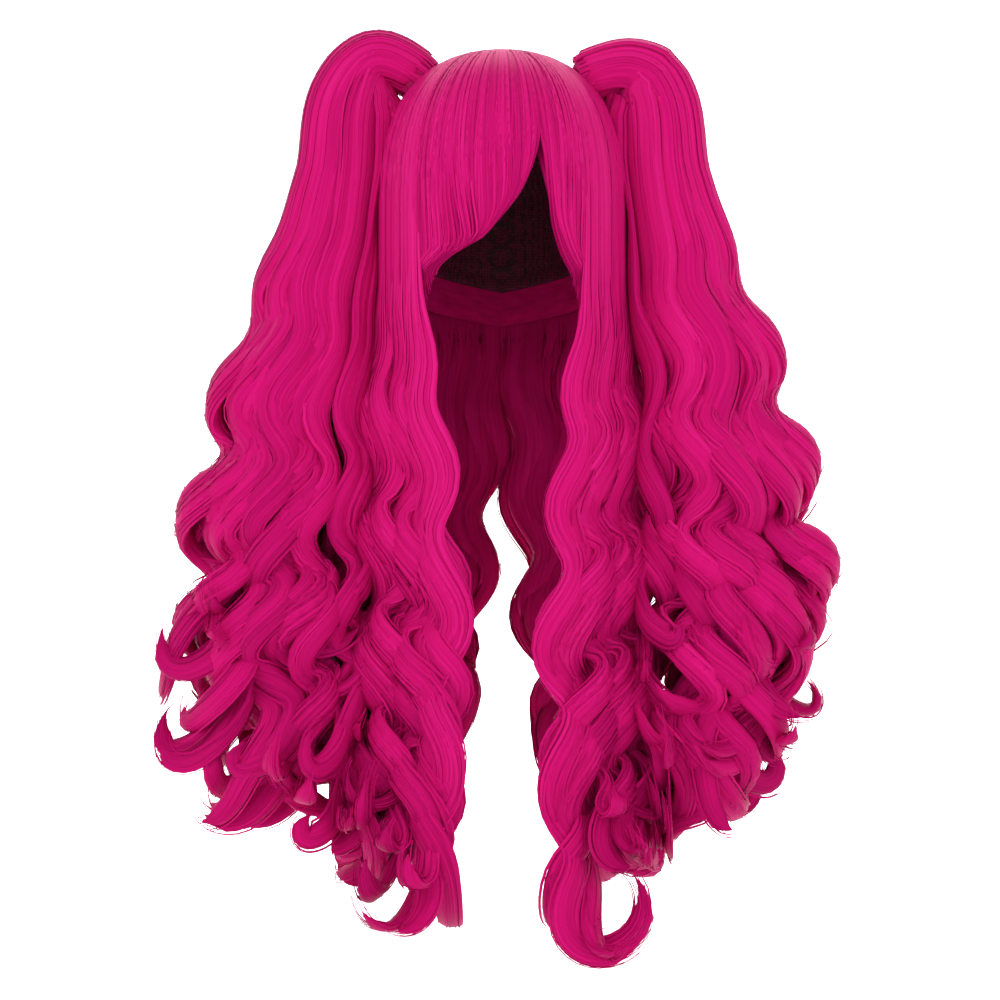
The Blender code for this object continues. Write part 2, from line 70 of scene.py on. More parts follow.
PIGTAIL_FULLNESS = 0.072
CLIP_SLOPE = 39.0
CLIP_THICKNESS = 0.004
RIDGE_DEPTH = 0.0016
GAP = 0.0003

MM = 0.001
# How far the strands stand over the CAD frame's sewn hair, and the way over the cap from the
# crown to the end of the dome
LOFT = 0.003
HEAD_ARC = 0.145
# Points along each lock
STATIONS = 260
# Slopes at which strands and undercoats start, just off the pole
STRAND_SLOPE, UNDERCOAT_SLOPE = 0.004, 0.002
# Strands leave the cap from this drop, and follow their lock alone after this way
LEAVE_DROP, LEAVE_SPAN = 0.13, 0.14
PARTING_TURN, TEMPLE_TURN = 18.0, 42.0
SIDE_TURNS, BACK_TURNS = (TEMPLE_TURN, 104.0), (104.0, 180.0)
# The fringe goes this many degrees on under the side hair
FRINGE_PAST = 1.0

Rim = namedtuple("Rim", "turn drop")
CAP_RIM = (
    Rim(0, 0.30),
    Rim(30, 0.36),
    Rim(55, 0.62),
    Rim(80, 0.72),
    Rim(105, 0.72),
    Rim(140, 0.80),
    Rim(180, 0.86),
)
FRINGE_RIM = (
    Rim(-46, 1.02),
    Rim(-42, 0.99),
    Rim(-31, 0.95),
    Rim(-22, 0.92),
    Rim(-10, 0.86),
    Rim(-1, 0.77),
    Rim(8, 0.67),
    Rim(18, 0.49),
    Rim(23, 0.66),
    Rim(28, 0.81),
    Rim(36, 0.94),
    Rim(42, 1.01),
    Rim(46, 1.03),
)
SEWN_RIM = (Rim(42, 0.84), Rim(70, 0.86), Rim(104, 0.88), Rim(140, 0.95), Rim(180, 1.00))
# A fringe strand leaves the crown at its turn, ends at another, and bends to keep this far inside
# the rim, in millimetres
Flow = namedtuple("Flow", "turn end inside")
SWEEP_FLOW = (
    Flow(-44, -45.5, 3),
    Flow(-36, -42, 7),
    Flow(-26, -36, 12),
    Flow(-14, -29, 17),
    Flow(-4, -22, 18),
    Flow(5, -13, 14),
    Flow(12, -5, 8),
    Flow(18, 3, 1),
)
SIDE_FRINGE_FLOW = (
    Flow(17.5, 33, 0),
    Flow(22, 36, 6),
    Flow(28, 39, 10),
    Flow(36, 42, 8),
    Flow(44, 45, 3),
)

Ring = namedtuple("Ring", "drop across front back")
HANGING_RINGS = (
    Ring(0.10, 0.98, 0.965, 0.965),
    Ring(0.20, 1.00, 0.96, 0.98),
    Ring(0.28, 1.04, 0.84, 0.93),
    Ring(0.38, 1.05, 0.76, 0.88),
    Ring(0.52, 1.05, 0.74, 0.90),
    Ring(0.70, 1.07, 0.74, 0.92),
    Ring(0.86, 1.06, 0.68, 0.84),
    Ring(1.00, 0.80, 0.58, 0.70),
)

# Clumps of one half's loose hair: turn at the cap and at the tip, the share of its length by which
# it has gone from one to the other, its reach as a share of HAIR_LENGTH, the layer it lies in from
# -1 inside to 1 outside, half its width and its curl in millimetres, and its curl's phase.
Clump = namedtuple("Clump", "turn end settle reach layer half curl phase")
SIDE_CLUMPS = (
    Clump(48, 31, 0.6, 1.030, 0.0, 16, 12, -90),
    Clump(60, 45, 0.7, 0.950, 0.2, 17, 14, -75),
    Clump(73, 59, 0.7, 0.930, 0.6, 17, 15, -60),
    Clump(85, 73, 0.7, 0.920, 1.9, 17, 16, -30),
    Clump(97, 86, 0.7, 0.910, 2.3, 17, 16, 0),
)
BACK_CLUMPS = (
    Clump(109, 101, 0.7, 0.910, 1.4, 18, 16, 10),
    Clump(123, 113, 0.7, 0.940, 0.5, 18, 16, 30),
    Clump(137, 124, 0.8, 0.950, 0.1, 18, 16, 45),
    Clump(151, 135, 0.9, 0.915, 0.1, 18, 15, 60),
    Clump(163, 144, 0.9, 0.885, 0.1, 17, 13, 75),
    Clump(174, 150, 1.0, 0.870, 0.1, 15, 12, 80),
)

Stage = namedtuple("Stage", "drop out forward fullness")
PIGTAIL_STAGES = (
    Stage(-0.018, 0.372, 0.0, 0.38),
    Stage(0.030, 0.460, 0.0, 0.44),
    Stage(0.130, 0.495, 0.1, 0.48),
    Stage(0.245, 0.553, 0.3, 0.62),
    Stage(0.380, 0.630, 0.7, 0.84),
    Stage(0.530, 0.680, 1.0, 1.02),
    Stage(0.680, 0.695, 1.0, 1.08),
    Stage(0.840, 0.655, 0.9, 1.02),
    Stage(1.000, 0.585, 0.8, 0.82),
    Stage(1.120, 0.535, 0.7, 0.62),
)
# Clumps of a pigtail: place round its middle line in degrees, 0 outwards and 90 to the front, how
# far from the line as a share of its fullness, and the rest as for Clump.
Tress = namedtuple("Tress", "place share reach half curl phase")
PIGTAIL_TRESSES = (
    Tress(0, 0.66, 0.79, 16, 25, 0),
    Tress(42, 0.64, 0.83, 16, 20, 45),
    Tress(84, 0.62, 0.87, 16, 19, 90),
    Tress(126, 0.64, 0.91, 15, 17, 120),
    Tress(172, 0.84, 0.88, 17, 13, 150),
    Tress(220, 0.76, 0.85, 16, 14, 210),
    Tress(264, 0.62, 0.88, 16, 18, 260),
    Tress(312, 0.64, 0.83, 16, 20, 315),
    Tress(60, 0.22, 0.87, 16, 14, 70),
    Tress(240, 0.22, 0.88, 16, 14, 250),
)
# Locks that each row splits into, and how far they spread from it in turn or place, in degrees,
# in reach, in layer or share, in curl in millimetres and in phase from the root to the tip
Spread = namedtuple("Spread", "locks around reach layer curl phase lag")
SIDE_SPREAD = Spread(4, 3.2, 0.10, 0.9, 2.0, 12, 85)
BACK_SPREAD = Spread(3, 4.6, 0.08, 0.9, 2.0, 14, 85)
PIGTAIL_SPREAD = Spread(4, 10.5, 0.20, 0.12, 2.5, 14, 110)

# How high each pigtail arches over its clip, as a share of the CAD frame's arch
LEFT_ARCH, RIGHT_ARCH = 0.76, 0.38
# Drops at which the curls of each side swing outwards
Crest = namedtuple("Crest", "pigtail loose")
LEFT_CREST = Crest(0.156, 0.344)
RIGHT_CREST = Crest(0.121, 0.370)

# Width of a clump along its length, as shares of its length and of its full width
Swell = namedtuple("Swell", "share fullness")
CLUMP_SWELL = (
    Swell(0.00, 0.80),
    Swell(0.20, 1.00),
    Swell(0.40, 1.00),
    Swell(0.60, 0.84),
    Swell(0.80, 0.72),
    Swell(0.92, 0.62),
    Swell(1.00, 0.34),
)
# How closely the steps of a strand lie, as shares of its length
Pace = namedtuple("Pace", "share close")
HANGING_PACE = (Pace(0.0, 0.8), Pace(0.2, 0.6), Pace(0.35, 0.8), Pace(0.5, 1.1), Pace(1.0, 1.3))
PIGTAIL_PACE = (
    Pace(0.00, 1.7),
    Pace(0.12, 1.4),
    Pace(0.20, 0.6),
    Pace(0.35, 0.7),
    Pace(0.50, 1.1),
    Pace(1.00, 1.3),
)
FRINGE_PACE = (Pace(0.0, 0.6), Pace(0.5, 0.9), Pace(1.0, 1.8))
# How far out, forwards and back the strands may reach
WIDEST, FOREMOST, HINDMOST = 0.270, -0.114, 0.130
# Upright limit between a half's loose hair and its pigtail
Wall = namedtuple("Wall", "drop out")
PIGTAIL_WALL = (
    Wall(-0.02, 0.20),
    Wall(0.06, 0.75),
    Wall(0.13, 1.17),
    Wall(0.24, 1.22),
    Wall(0.40, 1.22),
    Wall(0.60, 1.25),
    Wall(0.80, 1.32),
    Wall(1.10, 1.50),
)
# How far loose hair and a pigtail may each go over that limit
LOOSE_OVER, PIGTAIL_OVER = 0.010, 0.014

# How a curl opens along its lock: the sum of a few shares, each of which comes in over its span
Opening = namedtuple("Opening", "share start span")
LOOSE_OPENING = (Opening(0.35, 0.13, 0.10), Opening(0.65, 0.20, 0.30))
PIGTAIL_OPENING = (Opening(0.35, 0.15, 0.12), Opening(0.65, 0.24, 0.26))
# Curls widen by these shares over the last part of a lock, and stop winding before its tip
TIP_START, TIP_SPAN, LOOSE_WIDENING, PIGTAIL_WIDENING = 0.78, 0.2, 0.2, 0.25
UNWIND_START, UNWIND_SPAN = 0.80, 0.12
# A tip hooks round from this share of the lock on, by at least so many degrees and at most so many
# more
HOOK_START, HOOK_LEAST, HOOK_MORE, HOOK_POWER = 0.83, 105.0, 160.0, 1.3
# How near the middle plane a lock's middle may come at the top and low down, from which drop and
# over which span that changes, and how far outside the wall a pigtail lock's middle stays
NEAR_TOP, NEAR_LOW, NEAR_DROP, NEAR_SPAN, BESIDE_WALL = -0.03, 0.034, 0.32, 0.22, 0.006
# How far a lock's middle stays inside the reach at the sides, and at the front and back
INSIDE_SIDE, INSIDE_DEPTH = 0.008, 0.006
# How softly limits bend what comes near them: strands at the reach, middles in depth, strands at
# the wall, and middles at the side and near the middle plane
SOFT_REACH, SOFT_DEPTH, SOFT_WALL, SOFT_SIDE, SOFT_NEAR = 0.003, 0.004, 0.005, 0.006, 0.008
# How deep a lock is, as a share of its width, how far apart the layers of loose hair lie, and how
# deep strands lie in the sewn hair
LOOSE_DEPTH, PIGTAIL_LOCK_DEPTH, LAYER, SEWN_DEPTH = 0.42, 0.5, 0.006, 0.0022

# A strand lies at the edge of its lock's section: the least share of its radius, how far that
# varies, and how much further out a few strands stand
EDGE_LEAST, EDGE_VARIES, PROUD, PROUD_FEW = 0.96, 0.08, 0.06, 0.2
# How much shorter a strand may be, how far it drifts aside, and how many curl on their own
SHORTER, DRIFT, STRAY_FEW = 0.06, 0.07, 0.015
WIDTH_LEAST, WIDTH_VARIES = 0.7, 0.6
# How far a strand leans over with its curl, for each metre of the curl
CURL_LEAN = 35.0
# A core's sides, and how far it lies under its strands on the cap
CORE_SIDES, CORE_UNDER = 14, 0.0009

# The fringe: how far off the cap it starts, the share of its depth that its strands fill, how far
# its strands rise and fall, how far their ends vary in degrees, the degrees of one lock, and how
# far above their tips the undercoat ends
FRINGE_OFF, FRINGE_FILL, FRINGE_LIFT = 0.0022, 0.12, 0.0007
END_VARIES, FRINGE_LOCK, FRINGE_SHOWS = 1.2, 3.2, 0.007
# Beside the temple, from this turn on, strands stay level with the side hair and vary in reach
BESIDE_TURN, BESIDE_SPAN, BESIDE_SHORT, BESIDE_LONG = 31.0, 11.0, -0.015, 0.045
# An undercoat's points along the rim and down from the crown, how far its inner face lies off the
# cap and its outer one under the strands, and its least thickness
UNDERCOAT_TURNS, UNDERCOAT_STEPS = 34, 22
UNDERCOAT_OFF, UNDERCOAT_UNDER, UNDERCOAT_LEAST = 0.0012, 0.0019, 0.0006
# Between two offsets from the dome, for the way out of it
OUT_STEP = 0.004
# Streaks on the strands, in tones from painted shade to painted highlight: how far each strand's
# own start moves them, and their places
STREAK_START, STREAK_PLACES, STREAK_LENGTH = 7.31, 997, 0.6
ATLAS_ROWS, STRIP_WIDTH, STRIP_LENGTH = 3, 0.8, 0.98
# The net's inner face off the dome, and what its sewn rows and bound edge stand in from there
NET_INSIDE, WEFT_HEIGHT, BAND_HEIGHT = 0.0009, 0.0007, 0.0009
# How far inside its clip a pigtail starts
ROOT_DEPTH = 0.007
# The view: where its middle is, in pixels left of and below the crown, its width in pixels, and
# the camera's sensor in millimetres
MIDDLE_PIXEL, PHOTO_WIDTH, SENSOR_WIDTH = (2, 428), 1000, 36.0


class HairSizes(bpy.types.PropertyGroup):
    strand_width: bpy.props.FloatProperty(
        name="Strand width", description="Width of a strand", default=0.0021, unit="LENGTH"
    )
    wave: bpy.props.FloatProperty(
        name="Wave", description="Length of one curl at the tips", default=0.090, unit="LENGTH"
    )
    pigtail_strands: bpy.props.IntProperty(
        name="Pigtail strands", description="Strands in each pigtail", default=600
    )
    side_strands: bpy.props.IntProperty(
        name="Side strands", description="Strands in each side's hair", default=600
    )
    back_strands: bpy.props.IntProperty(
        name="Back strands", description="Strands in each half of the back", default=410
    )
    fringe_strands: bpy.props.IntProperty(
        name="Fringe strands", description="Strands in each degree of fringe", default=24
    )
    # The dark colour is painted shade and the lightest colour a painted highlight. Each strand
    # takes a tone between them at random.
    dark: bpy.props.FloatVectorProperty(
        name="Dark", description="Colour in the depths", subtype="COLOR", size=3,
        default=(0.30, 0.002, 0.075),
    )
    middle: bpy.props.FloatVectorProperty(
        name="Middle", description="Main colour", subtype="COLOR", size=3,
        default=(0.62, 0.006, 0.155),
    )
    bright: bpy.props.FloatVectorProperty(
        name="Bright", description="Colour of the lightest strands", subtype="COLOR", size=3,
        default=(0.83, 0.020, 0.27),
    )


class CapSizes(bpy.types.PropertyGroup):
    mesh_size: bpy.props.FloatProperty(
        name="Net mesh", description="Size of one net cell", default=0.0022, unit="LENGTH"
    )
    weft_rows: bpy.props.IntProperty(
        name="Weft rows", description="Sewn rows inside the cap", default=12
    )
    net: bpy.props.FloatVectorProperty(
        name="Net", description="Colour of the net", subtype="COLOR", size=3,
        default=(0.035, 0.004, 0.012),
    )
    # The colour behind the net is the hair's colour darkened as painted shade
    behind: bpy.props.FloatVectorProperty(
        name="Behind the net", description="Colour in its holes", subtype="COLOR", size=3,
        default=(0.20, 0.004, 0.055),
    )
    clip_dark: bpy.props.FloatVectorProperty(
        name="Clip dark", description="Darker colour of the clips", subtype="COLOR", size=3,
        default=(0.34, 0.002, 0.085),
    )
    clip_light: bpy.props.FloatVectorProperty(
        name="Clip light", description="Lighter colour of the clips", subtype="COLOR", size=3,
        default=(0.46, 0.003, 0.115),
    )


class StageSizes(bpy.types.PropertyGroup):
    distance: bpy.props.FloatProperty(
        name="Camera distance", description="From the wig's middle", default=2.5, unit="LENGTH"
    )
    pixel: bpy.props.FloatProperty(
        name="Pixel", description="What one pixel of the view covers at the wig's middle",
        default=0.000767, precision=6, unit="LENGTH",
    )
    floor: bpy.props.FloatProperty(
        name="Floor", description="Height of the floor", default=-0.80, unit="LENGTH"
    )
    daylight: bpy.props.FloatProperty(
        name="Daylight", description="Strength of the light from all round", default=0.74
    )


def column(rows, name):
    return np.array([getattr(row, name) for row in rows], float)


def read(rows, key, name, at):
    """One smooth curve through a table's rows: a cubic between each two rows, whose slopes come
    from the rows around it."""
    knots, values = column(rows, key), column(rows, name)
    slopes = np.gradient(values, knots)
    at = np.clip(at, knots[0], knots[-1])
    left = np.clip(np.searchsorted(knots, at, side="right") - 1, 0, len(knots) - 2)
    span = knots[left + 1] - knots[left]
    part = (at - knots[left]) / span
    square, cube = part**2, part**3
    return (
        (2 * cube - 3 * square + 1) * values[left]
        + (cube - 2 * square + part) * span * slopes[left]
        + (3 * square - 2 * cube) * values[left + 1]
        + (cube - square) * span * slopes[left + 1]
    )


def eased(share):
    """0 to 1 with a level start and end: 3 x squared less 2 x cubed."""
    share = np.clip(share, 0.0, 1.0)
    return share * share * (3.0 - 2.0 * share)


def at_least(value, least, softness):
    """The value, bent by the log of 1 plus its exponential so that it stays above the least."""
    over = (value - least) / softness
    return least + softness * (np.maximum(over, 0.0) + np.log1p(np.exp(-np.abs(over))))


def at_most(value, most, softness):
    """The value, bent in the same way so that it stays below the most."""
    return most - at_least(most - value, 0.0, softness)


def unit(vectors):
    return vectors / np.maximum(np.linalg.norm(vectors, axis=-1, keepdims=True), 1e-12)


def dot(first, second):
    return np.sum(first * second, axis=-1, keepdims=True)


def dome(turn, slope, offset):
    """Points off the cap's inside: a squared dome, the sine and cosine of the slope each to the
    power of 2 over the squareness, standing on a straight oval wall. Turns are in radians."""
    turn, slope, offset = np.broadcast_arrays(turn, slope, offset)
    over = np.clip(slope, 0.0, math.pi / 2)
    power = 2.0 / HEAD_SQUARENESS
    share = np.sin(over) ** power
    height = np.maximum(np.cos(over), 0.0) ** power
    below = np.maximum(slope - math.pi / 2, 0.0) * HEAD_RISE
    return np.stack(
        (
            (HEAD_WIDTH / 2 + offset) * share * np.sin(turn),
            -(HEAD_DEPTH / 2 + offset) * share * np.cos(turn),
            -HEAD_RISE + (HEAD_RISE + offset) * height - below,
        ),
        axis=-1,
    )


def slope_at(drop):
    """The slope at which the dome is that far below the crown."""
    drop = np.asarray(drop, float)
    share = np.clip(1.0 - drop / HEAD_RISE, 0.0, 1.0)
    over = np.arccos(share ** (HEAD_SQUARENESS / 2.0))
    return over + np.maximum(drop - HEAD_RISE, 0.0) / HEAD_RISE


def drop_at(slope):
    """How far below the crown the dome is at a slope."""
    over = np.clip(slope, 0.0, math.pi / 2)
    height = np.maximum(np.cos(over), 0.0) ** (2.0 / HEAD_SQUARENESS)
    return HEAD_RISE * (1.0 - height + np.maximum(slope - math.pi / 2, 0.0))


def hair_depth(slope):
    """How far the sewn hair stands out from the dome."""
    return CROWN_HAIR + (SIDE_HAIR - CROWN_HAIR) * eased(slope / (math.pi / 2))


def rim_at(rows, degrees):
    return np.interp(degrees, column(rows, "turn"), column(rows, "drop"))


def put_mesh(name, points, quads, finish, maps=None, tones=None):
    """One object from arrays of points and quads, with its UV maps and point attributes."""
    mesh = bpy.data.meshes.new(name)
    mesh.vertices.add(len(points))
    mesh.vertices.foreach_set("co", np.ascontiguousarray(points, np.float32).ravel())
    mesh.loops.add(quads.size)
    mesh.loops.foreach_set("vertex_index", np.ascontiguousarray(quads, np.int32).ravel())
    mesh.polygons.add(len(quads))
    starts = np.arange(len(quads), dtype=np.int32) * quads.shape[1]
    mesh.polygons.foreach_set("loop_start", starts)
    mesh.polygons.foreach_set("use_smooth", np.ones(len(quads), bool))
    for label, corners in (maps or {}).items():
        layer = mesh.uv_layers.new(name=label, do_init=False)
        layer.uv.foreach_set("vector", np.ascontiguousarray(corners, np.float32).ravel())
    for label, values in (tones or {}).items():
        layer = mesh.attributes.new(label, "FLOAT", "POINT")
        layer.data.foreach_set("value", np.ascontiguousarray(values, np.float32))
    mesh.update(calc_edges=True)
    mesh.validate()
    mesh.materials.append(finish)
    body = bpy.data.objects.new(name, mesh)
    bpy.context.scene.collection.objects.link(body)
    return body


def corners_of(left, right, low, high):
    """The corners of quads in a map: low left, low right, high right and high left."""
    left, right, low, high = np.broadcast_arrays(left, right, low, high)
    pairs = ((left, low), (right, low), (right, high), (left, high))
    return np.stack([np.stack(pair, axis=-1) for pair in pairs], axis=-2)


Strip = namedtuple("Strip", "bodies around steps turned")


class Tufts:
    """Ribbons and closed bodies gathered for one piece: their points and quads, a map along the
    strands in metres, and for each point the tone of its strand, the tone of its lock and its
    share of the way to the tip."""

    def __init__(self):
        self.kept = {name: [] for name in ("points", "quads", "strand", "tone", "lock", "share")}
        self.strips = []
        self.count = 0

    def add(self, points, quads, corners, strip, share, tone, lock):
        """Keep the points and quads of some bodies. Each body has one tone and one lock."""
        each = points[0].size // 3
        rows = {
            "points": points.reshape(-1, 3),
            "quads": quads.reshape(-1, 4) + self.count,
            "strand": corners.reshape(-1, 2),
            "tone": np.repeat(tone, each),
            "lock": np.repeat(lock, each),
            "share": np.broadcast_to(share, points.shape[:-1]).reshape(-1),
        }
        for name, values in rows.items():
            self.kept[name].append(values)
        self.strips.append(strip)
        self.count += points.size // 3

    def ribbons(self, paths, faces, widths, tone, lock):
        """Ribbons: each path is widened to both sides along the cross product of its direction
        and the way it faces."""
        number, steps = paths.shape[:2]
        across = unit(np.cross(unit(np.gradient(paths, axis=1)), faces))
        half = widths[..., None] / 2
        both = np.stack((paths - across * half, paths + across * half), axis=2)
        first = np.arange(number)[:, None] * steps * 2 + np.arange(steps - 1)[None] * 2
        quads = np.stack((first, first + 1, first + 3, first + 2), axis=-1)
        length = np.linalg.norm(np.diff(paths, axis=1), axis=2).cumsum(axis=1)
        length = np.concatenate((np.zeros((number, 1)), length), axis=1)
        length = length + (tone * STREAK_START)[:, None]
        left = np.floor(tone * STREAK_PLACES)[:, None]
        corners = corners_of(left, left + 1.0, length[:, :-1], length[:, 1:])
        share = np.linspace(0.0, 1.0, steps)[None, :, None]
        self.add(both, quads, corners, Strip(number, 1, steps - 1, False), share, tone, lock)

    def sheets(self, grid, tone, lock, wrap, share=0.3):
        """Bodies from grids of rings, joined ring to ring, and round if wrapped. Rings that are
        wrapped would face inwards, so their quads are turned over."""
        number, rings, sides, _ = grid.shape
        near = np.arange(sides if wrap else sides - 1)
        far = (near + 1) % sides
        base = (np.arange(number)[:, None, None] * rings + np.arange(rings - 1)[:, None]) * sides
        quads = (base + near, base + far, base + sides + far, base + sides + near)
        quads = np.stack(quads, axis=-1)
        low = (np.arange(rings - 1) / rings * STREAK_LENGTH)[:, None]
        left = near + np.floor(lock * STREAK_PLACES)[:, None, None]
        corners = corners_of(left, left + 1.0, low, low + STREAK_LENGTH / rings)
        if wrap:
            quads, corners = quads[..., ::-1], corners[..., ::-1, :]
        share = np.reshape(share, (1, -1, 1))
        strip = Strip(number, len(near), rings - 1, wrap)
        self.add(grid, quads, corners, strip, share, tone, lock)

    def atlas(self):
        """A map of upright strips in rows: each ribbon has a strip of its own, and each column of
        a closed body's quads."""
        total = sum(strip.bodies * strip.around for strip in self.strips)
        per_row = math.ceil(total / ATLAS_ROWS)
        done, parts = 0, []
        for strip in self.strips:
            number = strip.bodies * strip.around
            place = done + np.arange(number)[:, None]
            step = STRIP_LENGTH / strip.steps / ATLAS_ROWS
            low = place // per_row / ATLAS_ROWS + np.arange(strip.steps) * step
            left = (place % per_row + (1.0 - STRIP_WIDTH) / 2) / per_row
            corners = corners_of(left, left + STRIP_WIDTH / per_row, low, low + step)
            corners = corners.reshape(strip.bodies, strip.around, strip.steps, 4, 2)
            corners = corners.transpose(0, 2, 1, 3, 4)
            if strip.turned:
                corners = corners[..., ::-1, :]
            parts.append(corners.reshape(-1, 2))
            done += number
        return np.concatenate(parts)

    def made(self, name, finish):
        """The piece's object, with its maps and the tones of its points."""
        whole = {label: np.concatenate(parts) for label, parts in self.kept.items()}
        maps = {"strand": whole["strand"], "OFBake": self.atlas()}
        tones = {label: whole[label] for label in ("tone", "lock", "share")}
        return put_mesh(name, whole["points"], whole["quads"], finish, maps, tones)


def disc(chance, number):
    """Even random places in a disc: the radius is the root of an even share."""
    radius, angle = np.sqrt(chance.random(number)), chance.random(number) * 2 * math.pi
    return radius * np.cos(angle), radius * np.sin(angle)


def taper(share, tips):
    """Width along a strand: full from the root, falling to a point over its last part."""
    return 1.0 - 0.80 * eased((share - 1.0 + tips[:, None]) / tips[:, None])


def spaced(steps, pace):
    """Shares along a strand, as close together as its pace asks."""
    fine = np.linspace(0.0, 1.0, 400)
    sums = np.cumsum(np.interp(fine, column(pace, "share"), column(pace, "close")))
    return np.interp(np.linspace(sums[0], sums[-1], steps), sums, fine)


def gather(values, which, places):
    """Values of each strand's clump, read between its stations at the places given."""
    left = np.clip(places.astype(int), 0, values.shape[1] - 2)
    part = places - left
    if values.ndim == 3:
        part = part[..., None]
    return values[which[:, None], left] * (1 - part) + values[which[:, None], left + 1] * part


def curled(line, tangent, out, curl, phase):
    """Points moved off a line by the cosine of the phase along the tangent and by three quarters
    of its sine outwards."""
    swing = tangent * np.cos(phase)[..., None] + out * 0.75 * np.sin(phase)[..., None]
    return line + curl[..., None] * swing


def laid(clumps, which, places):
    """A frame along each clump at the places given: its line and the way along, across and out.
    Where it curls, out leans over to face away from the middle of the curl."""
    get = {name: gather(clumps[name], which, places) for name in LAID}
    tangent, out = unit(get["tangent"]), unit(get["out"])
    lean = (CURL_LEAN * get["curl"])[..., None]
    along, phase = unit(get["along"]), get["phase"][..., None]
    turned = out * (1.0 + lean * np.sin(phase)) + tangent * lean * np.cos(phase)
    turned = unit(turned - dot(turned, along) * along)
    return get, tangent, out, along, turned


LAID = ("line", "tangent", "out", "along", "curl", "phase", "half", "deep")


def bundle(tufts, chance, clumps, number, share, width, limit, shell=None):
    """Strands that follow clumps. A strand keeps its place in its clump's oval section, curls a
    little before or after its clump does, drifts from side to side and ends at its own length."""
    which = np.sort(np.arange(number) % len(clumps["line"]))
    a, b = disc(chance, number)
    push = EDGE_LEAST + EDGE_VARIES * chance.random(number)
    push = push + PROUD * (chance.random(number) < PROUD_FEW)
    push = push / np.maximum(np.hypot(a, b), 0.05)
    a, b = a * push, b * push
    length = 1.0 - SHORTER * chance.random(number) ** 2
    share = share[None] - (1.0 - length)[:, None] * share[None] ** 5
    places = share * (STATIONS - 1)
    get, tangent, out, along, turned = laid(clumps, which, places)
    across = np.cross(along, turned)
    late = chance.normal(size=(number, 1)) * (0.04 + 0.06 * share)
    more = 1.0 + 0.05 * chance.normal(size=(number, 1))
    stray = (chance.random((number, 1)) < STRAY_FEW) * share
    late, more = late + 0.8 * stray * chance.normal(size=(number, 1)), more + 0.4 * stray
    middle = curled(get["line"], tangent, out, get["curl"] * more, get["phase"] + late)
    waves = 2 * math.pi * (share * (1.0 + 2.0 * chance.random((number, 1))))
    drift = DRIFT * np.sin(waves + 2 * math.pi * chance.random((number, 1)))
    u, v = a[:, None] + drift, b[:, None] + 0.5 * drift
    sideways, lifted = u * get["half"], v * get["deep"]
    paths = limit(middle + across * sideways[..., None] + turned * lifted[..., None])
    faces = across * (u * get["deep"] / get["half"])[..., None] + turned * v[..., None]
    faces = unit(faces + out * 0.25)
    if shell is not None:
        over, blend, outer = shell(which, a, b, places)
        paths = over * (1 - blend[..., None]) + paths * blend[..., None]
        faces = outer * (1 - blend[..., None]) + faces * blend[..., None]
    faces = unit(unit(faces) + 0.07 * unit(chance.normal(size=(number, 1, 3))))
    tips = 0.06 + 0.16 * chance.random(number)
    widths = width * (WIDTH_LEAST + WIDTH_VARIES * chance.random((number, 1)))
    widths = widths * taper(share / length[:, None], tips)
    tufts.ribbons(paths, faces, widths, chance.random(number), clumps["tone"][which])


def cores(tufts, clumps, share, start, size, limit, shell=None):
    """A closed tube inside each clump, which fills it between the strands: an oval ring round the
    curled line at each step, drawn together at both ends. Over the cap it lies flat under them."""
    share = share[(share >= start) & (share <= 0.985)]
    count, rings = len(clumps["line"]), len(share)
    places = share * (STATIONS - 1)
    get, tangent, out, along, turned = laid(
        clumps, np.arange(count), np.broadcast_to(places, (count, rings))
    )
    across = np.cross(along, turned)
    middle = curled(get["line"], tangent, out, get["curl"], get["phase"])
    angle = np.linspace(0.0, 2 * math.pi, CORE_SIDES, endpoint=False)
    a, b = size * np.cos(angle), size * np.sin(angle)
    u, v = (get["half"][..., None] * a)[..., None], (get["deep"][..., None] * b)[..., None]
    grid = limit(middle[:, :, None] + across[:, :, None] * u + turned[:, :, None] * v)
    if shell is not None:
        total = count * CORE_SIDES
        which, places = np.repeat(np.arange(count), CORE_SIDES), np.tile(places, (total, 1))
        over, blend, _ = shell(which, np.tile(a, count), np.tile(b, count), places, CORE_UNDER)
        over = over.reshape(count, CORE_SIDES, rings, 3).transpose(0, 2, 1, 3)
        blend = blend.reshape(count, CORE_SIDES, rings, 1).transpose(0, 2, 1, 3)
        grid = over * (1 - blend) + grid * blend
    ring = np.arange(rings)
    ends = eased(ring / 2.0) * np.clip((rings - 1 - ring) / 3.0, 0.0, 1.0)
    centre = grid.mean(axis=2, keepdims=True)
    grid = centre + (grid - centre) * ends[None, :, None, None]
    tufts.sheets(grid, np.full(count, 0.45), clumps["tone"], True, share)


def curl_phase(drops, wave, crest):
    """The phase of a curl at each drop, a quarter turn at its crest: a turn takes 1.2 waves at the
    top and one wave from 0.4 m down."""
    fine = np.linspace(-0.06, 0.75, 500)
    pitch = wave * (1.2 - 0.2 * eased(fine / 0.4))
    turns = np.cumsum((fine[1] - fine[0]) / pitch)
    at_drops, at_crest = np.interp(drops, fine, turns), np.interp(crest, fine, turns)
    return 2 * math.pi * (at_drops - at_crest + 0.25)


def opened(rows, at):
    """How far a curl has opened at each place."""
    return sum(row.share * eased((at - row.start) / row.span) for row in rows)


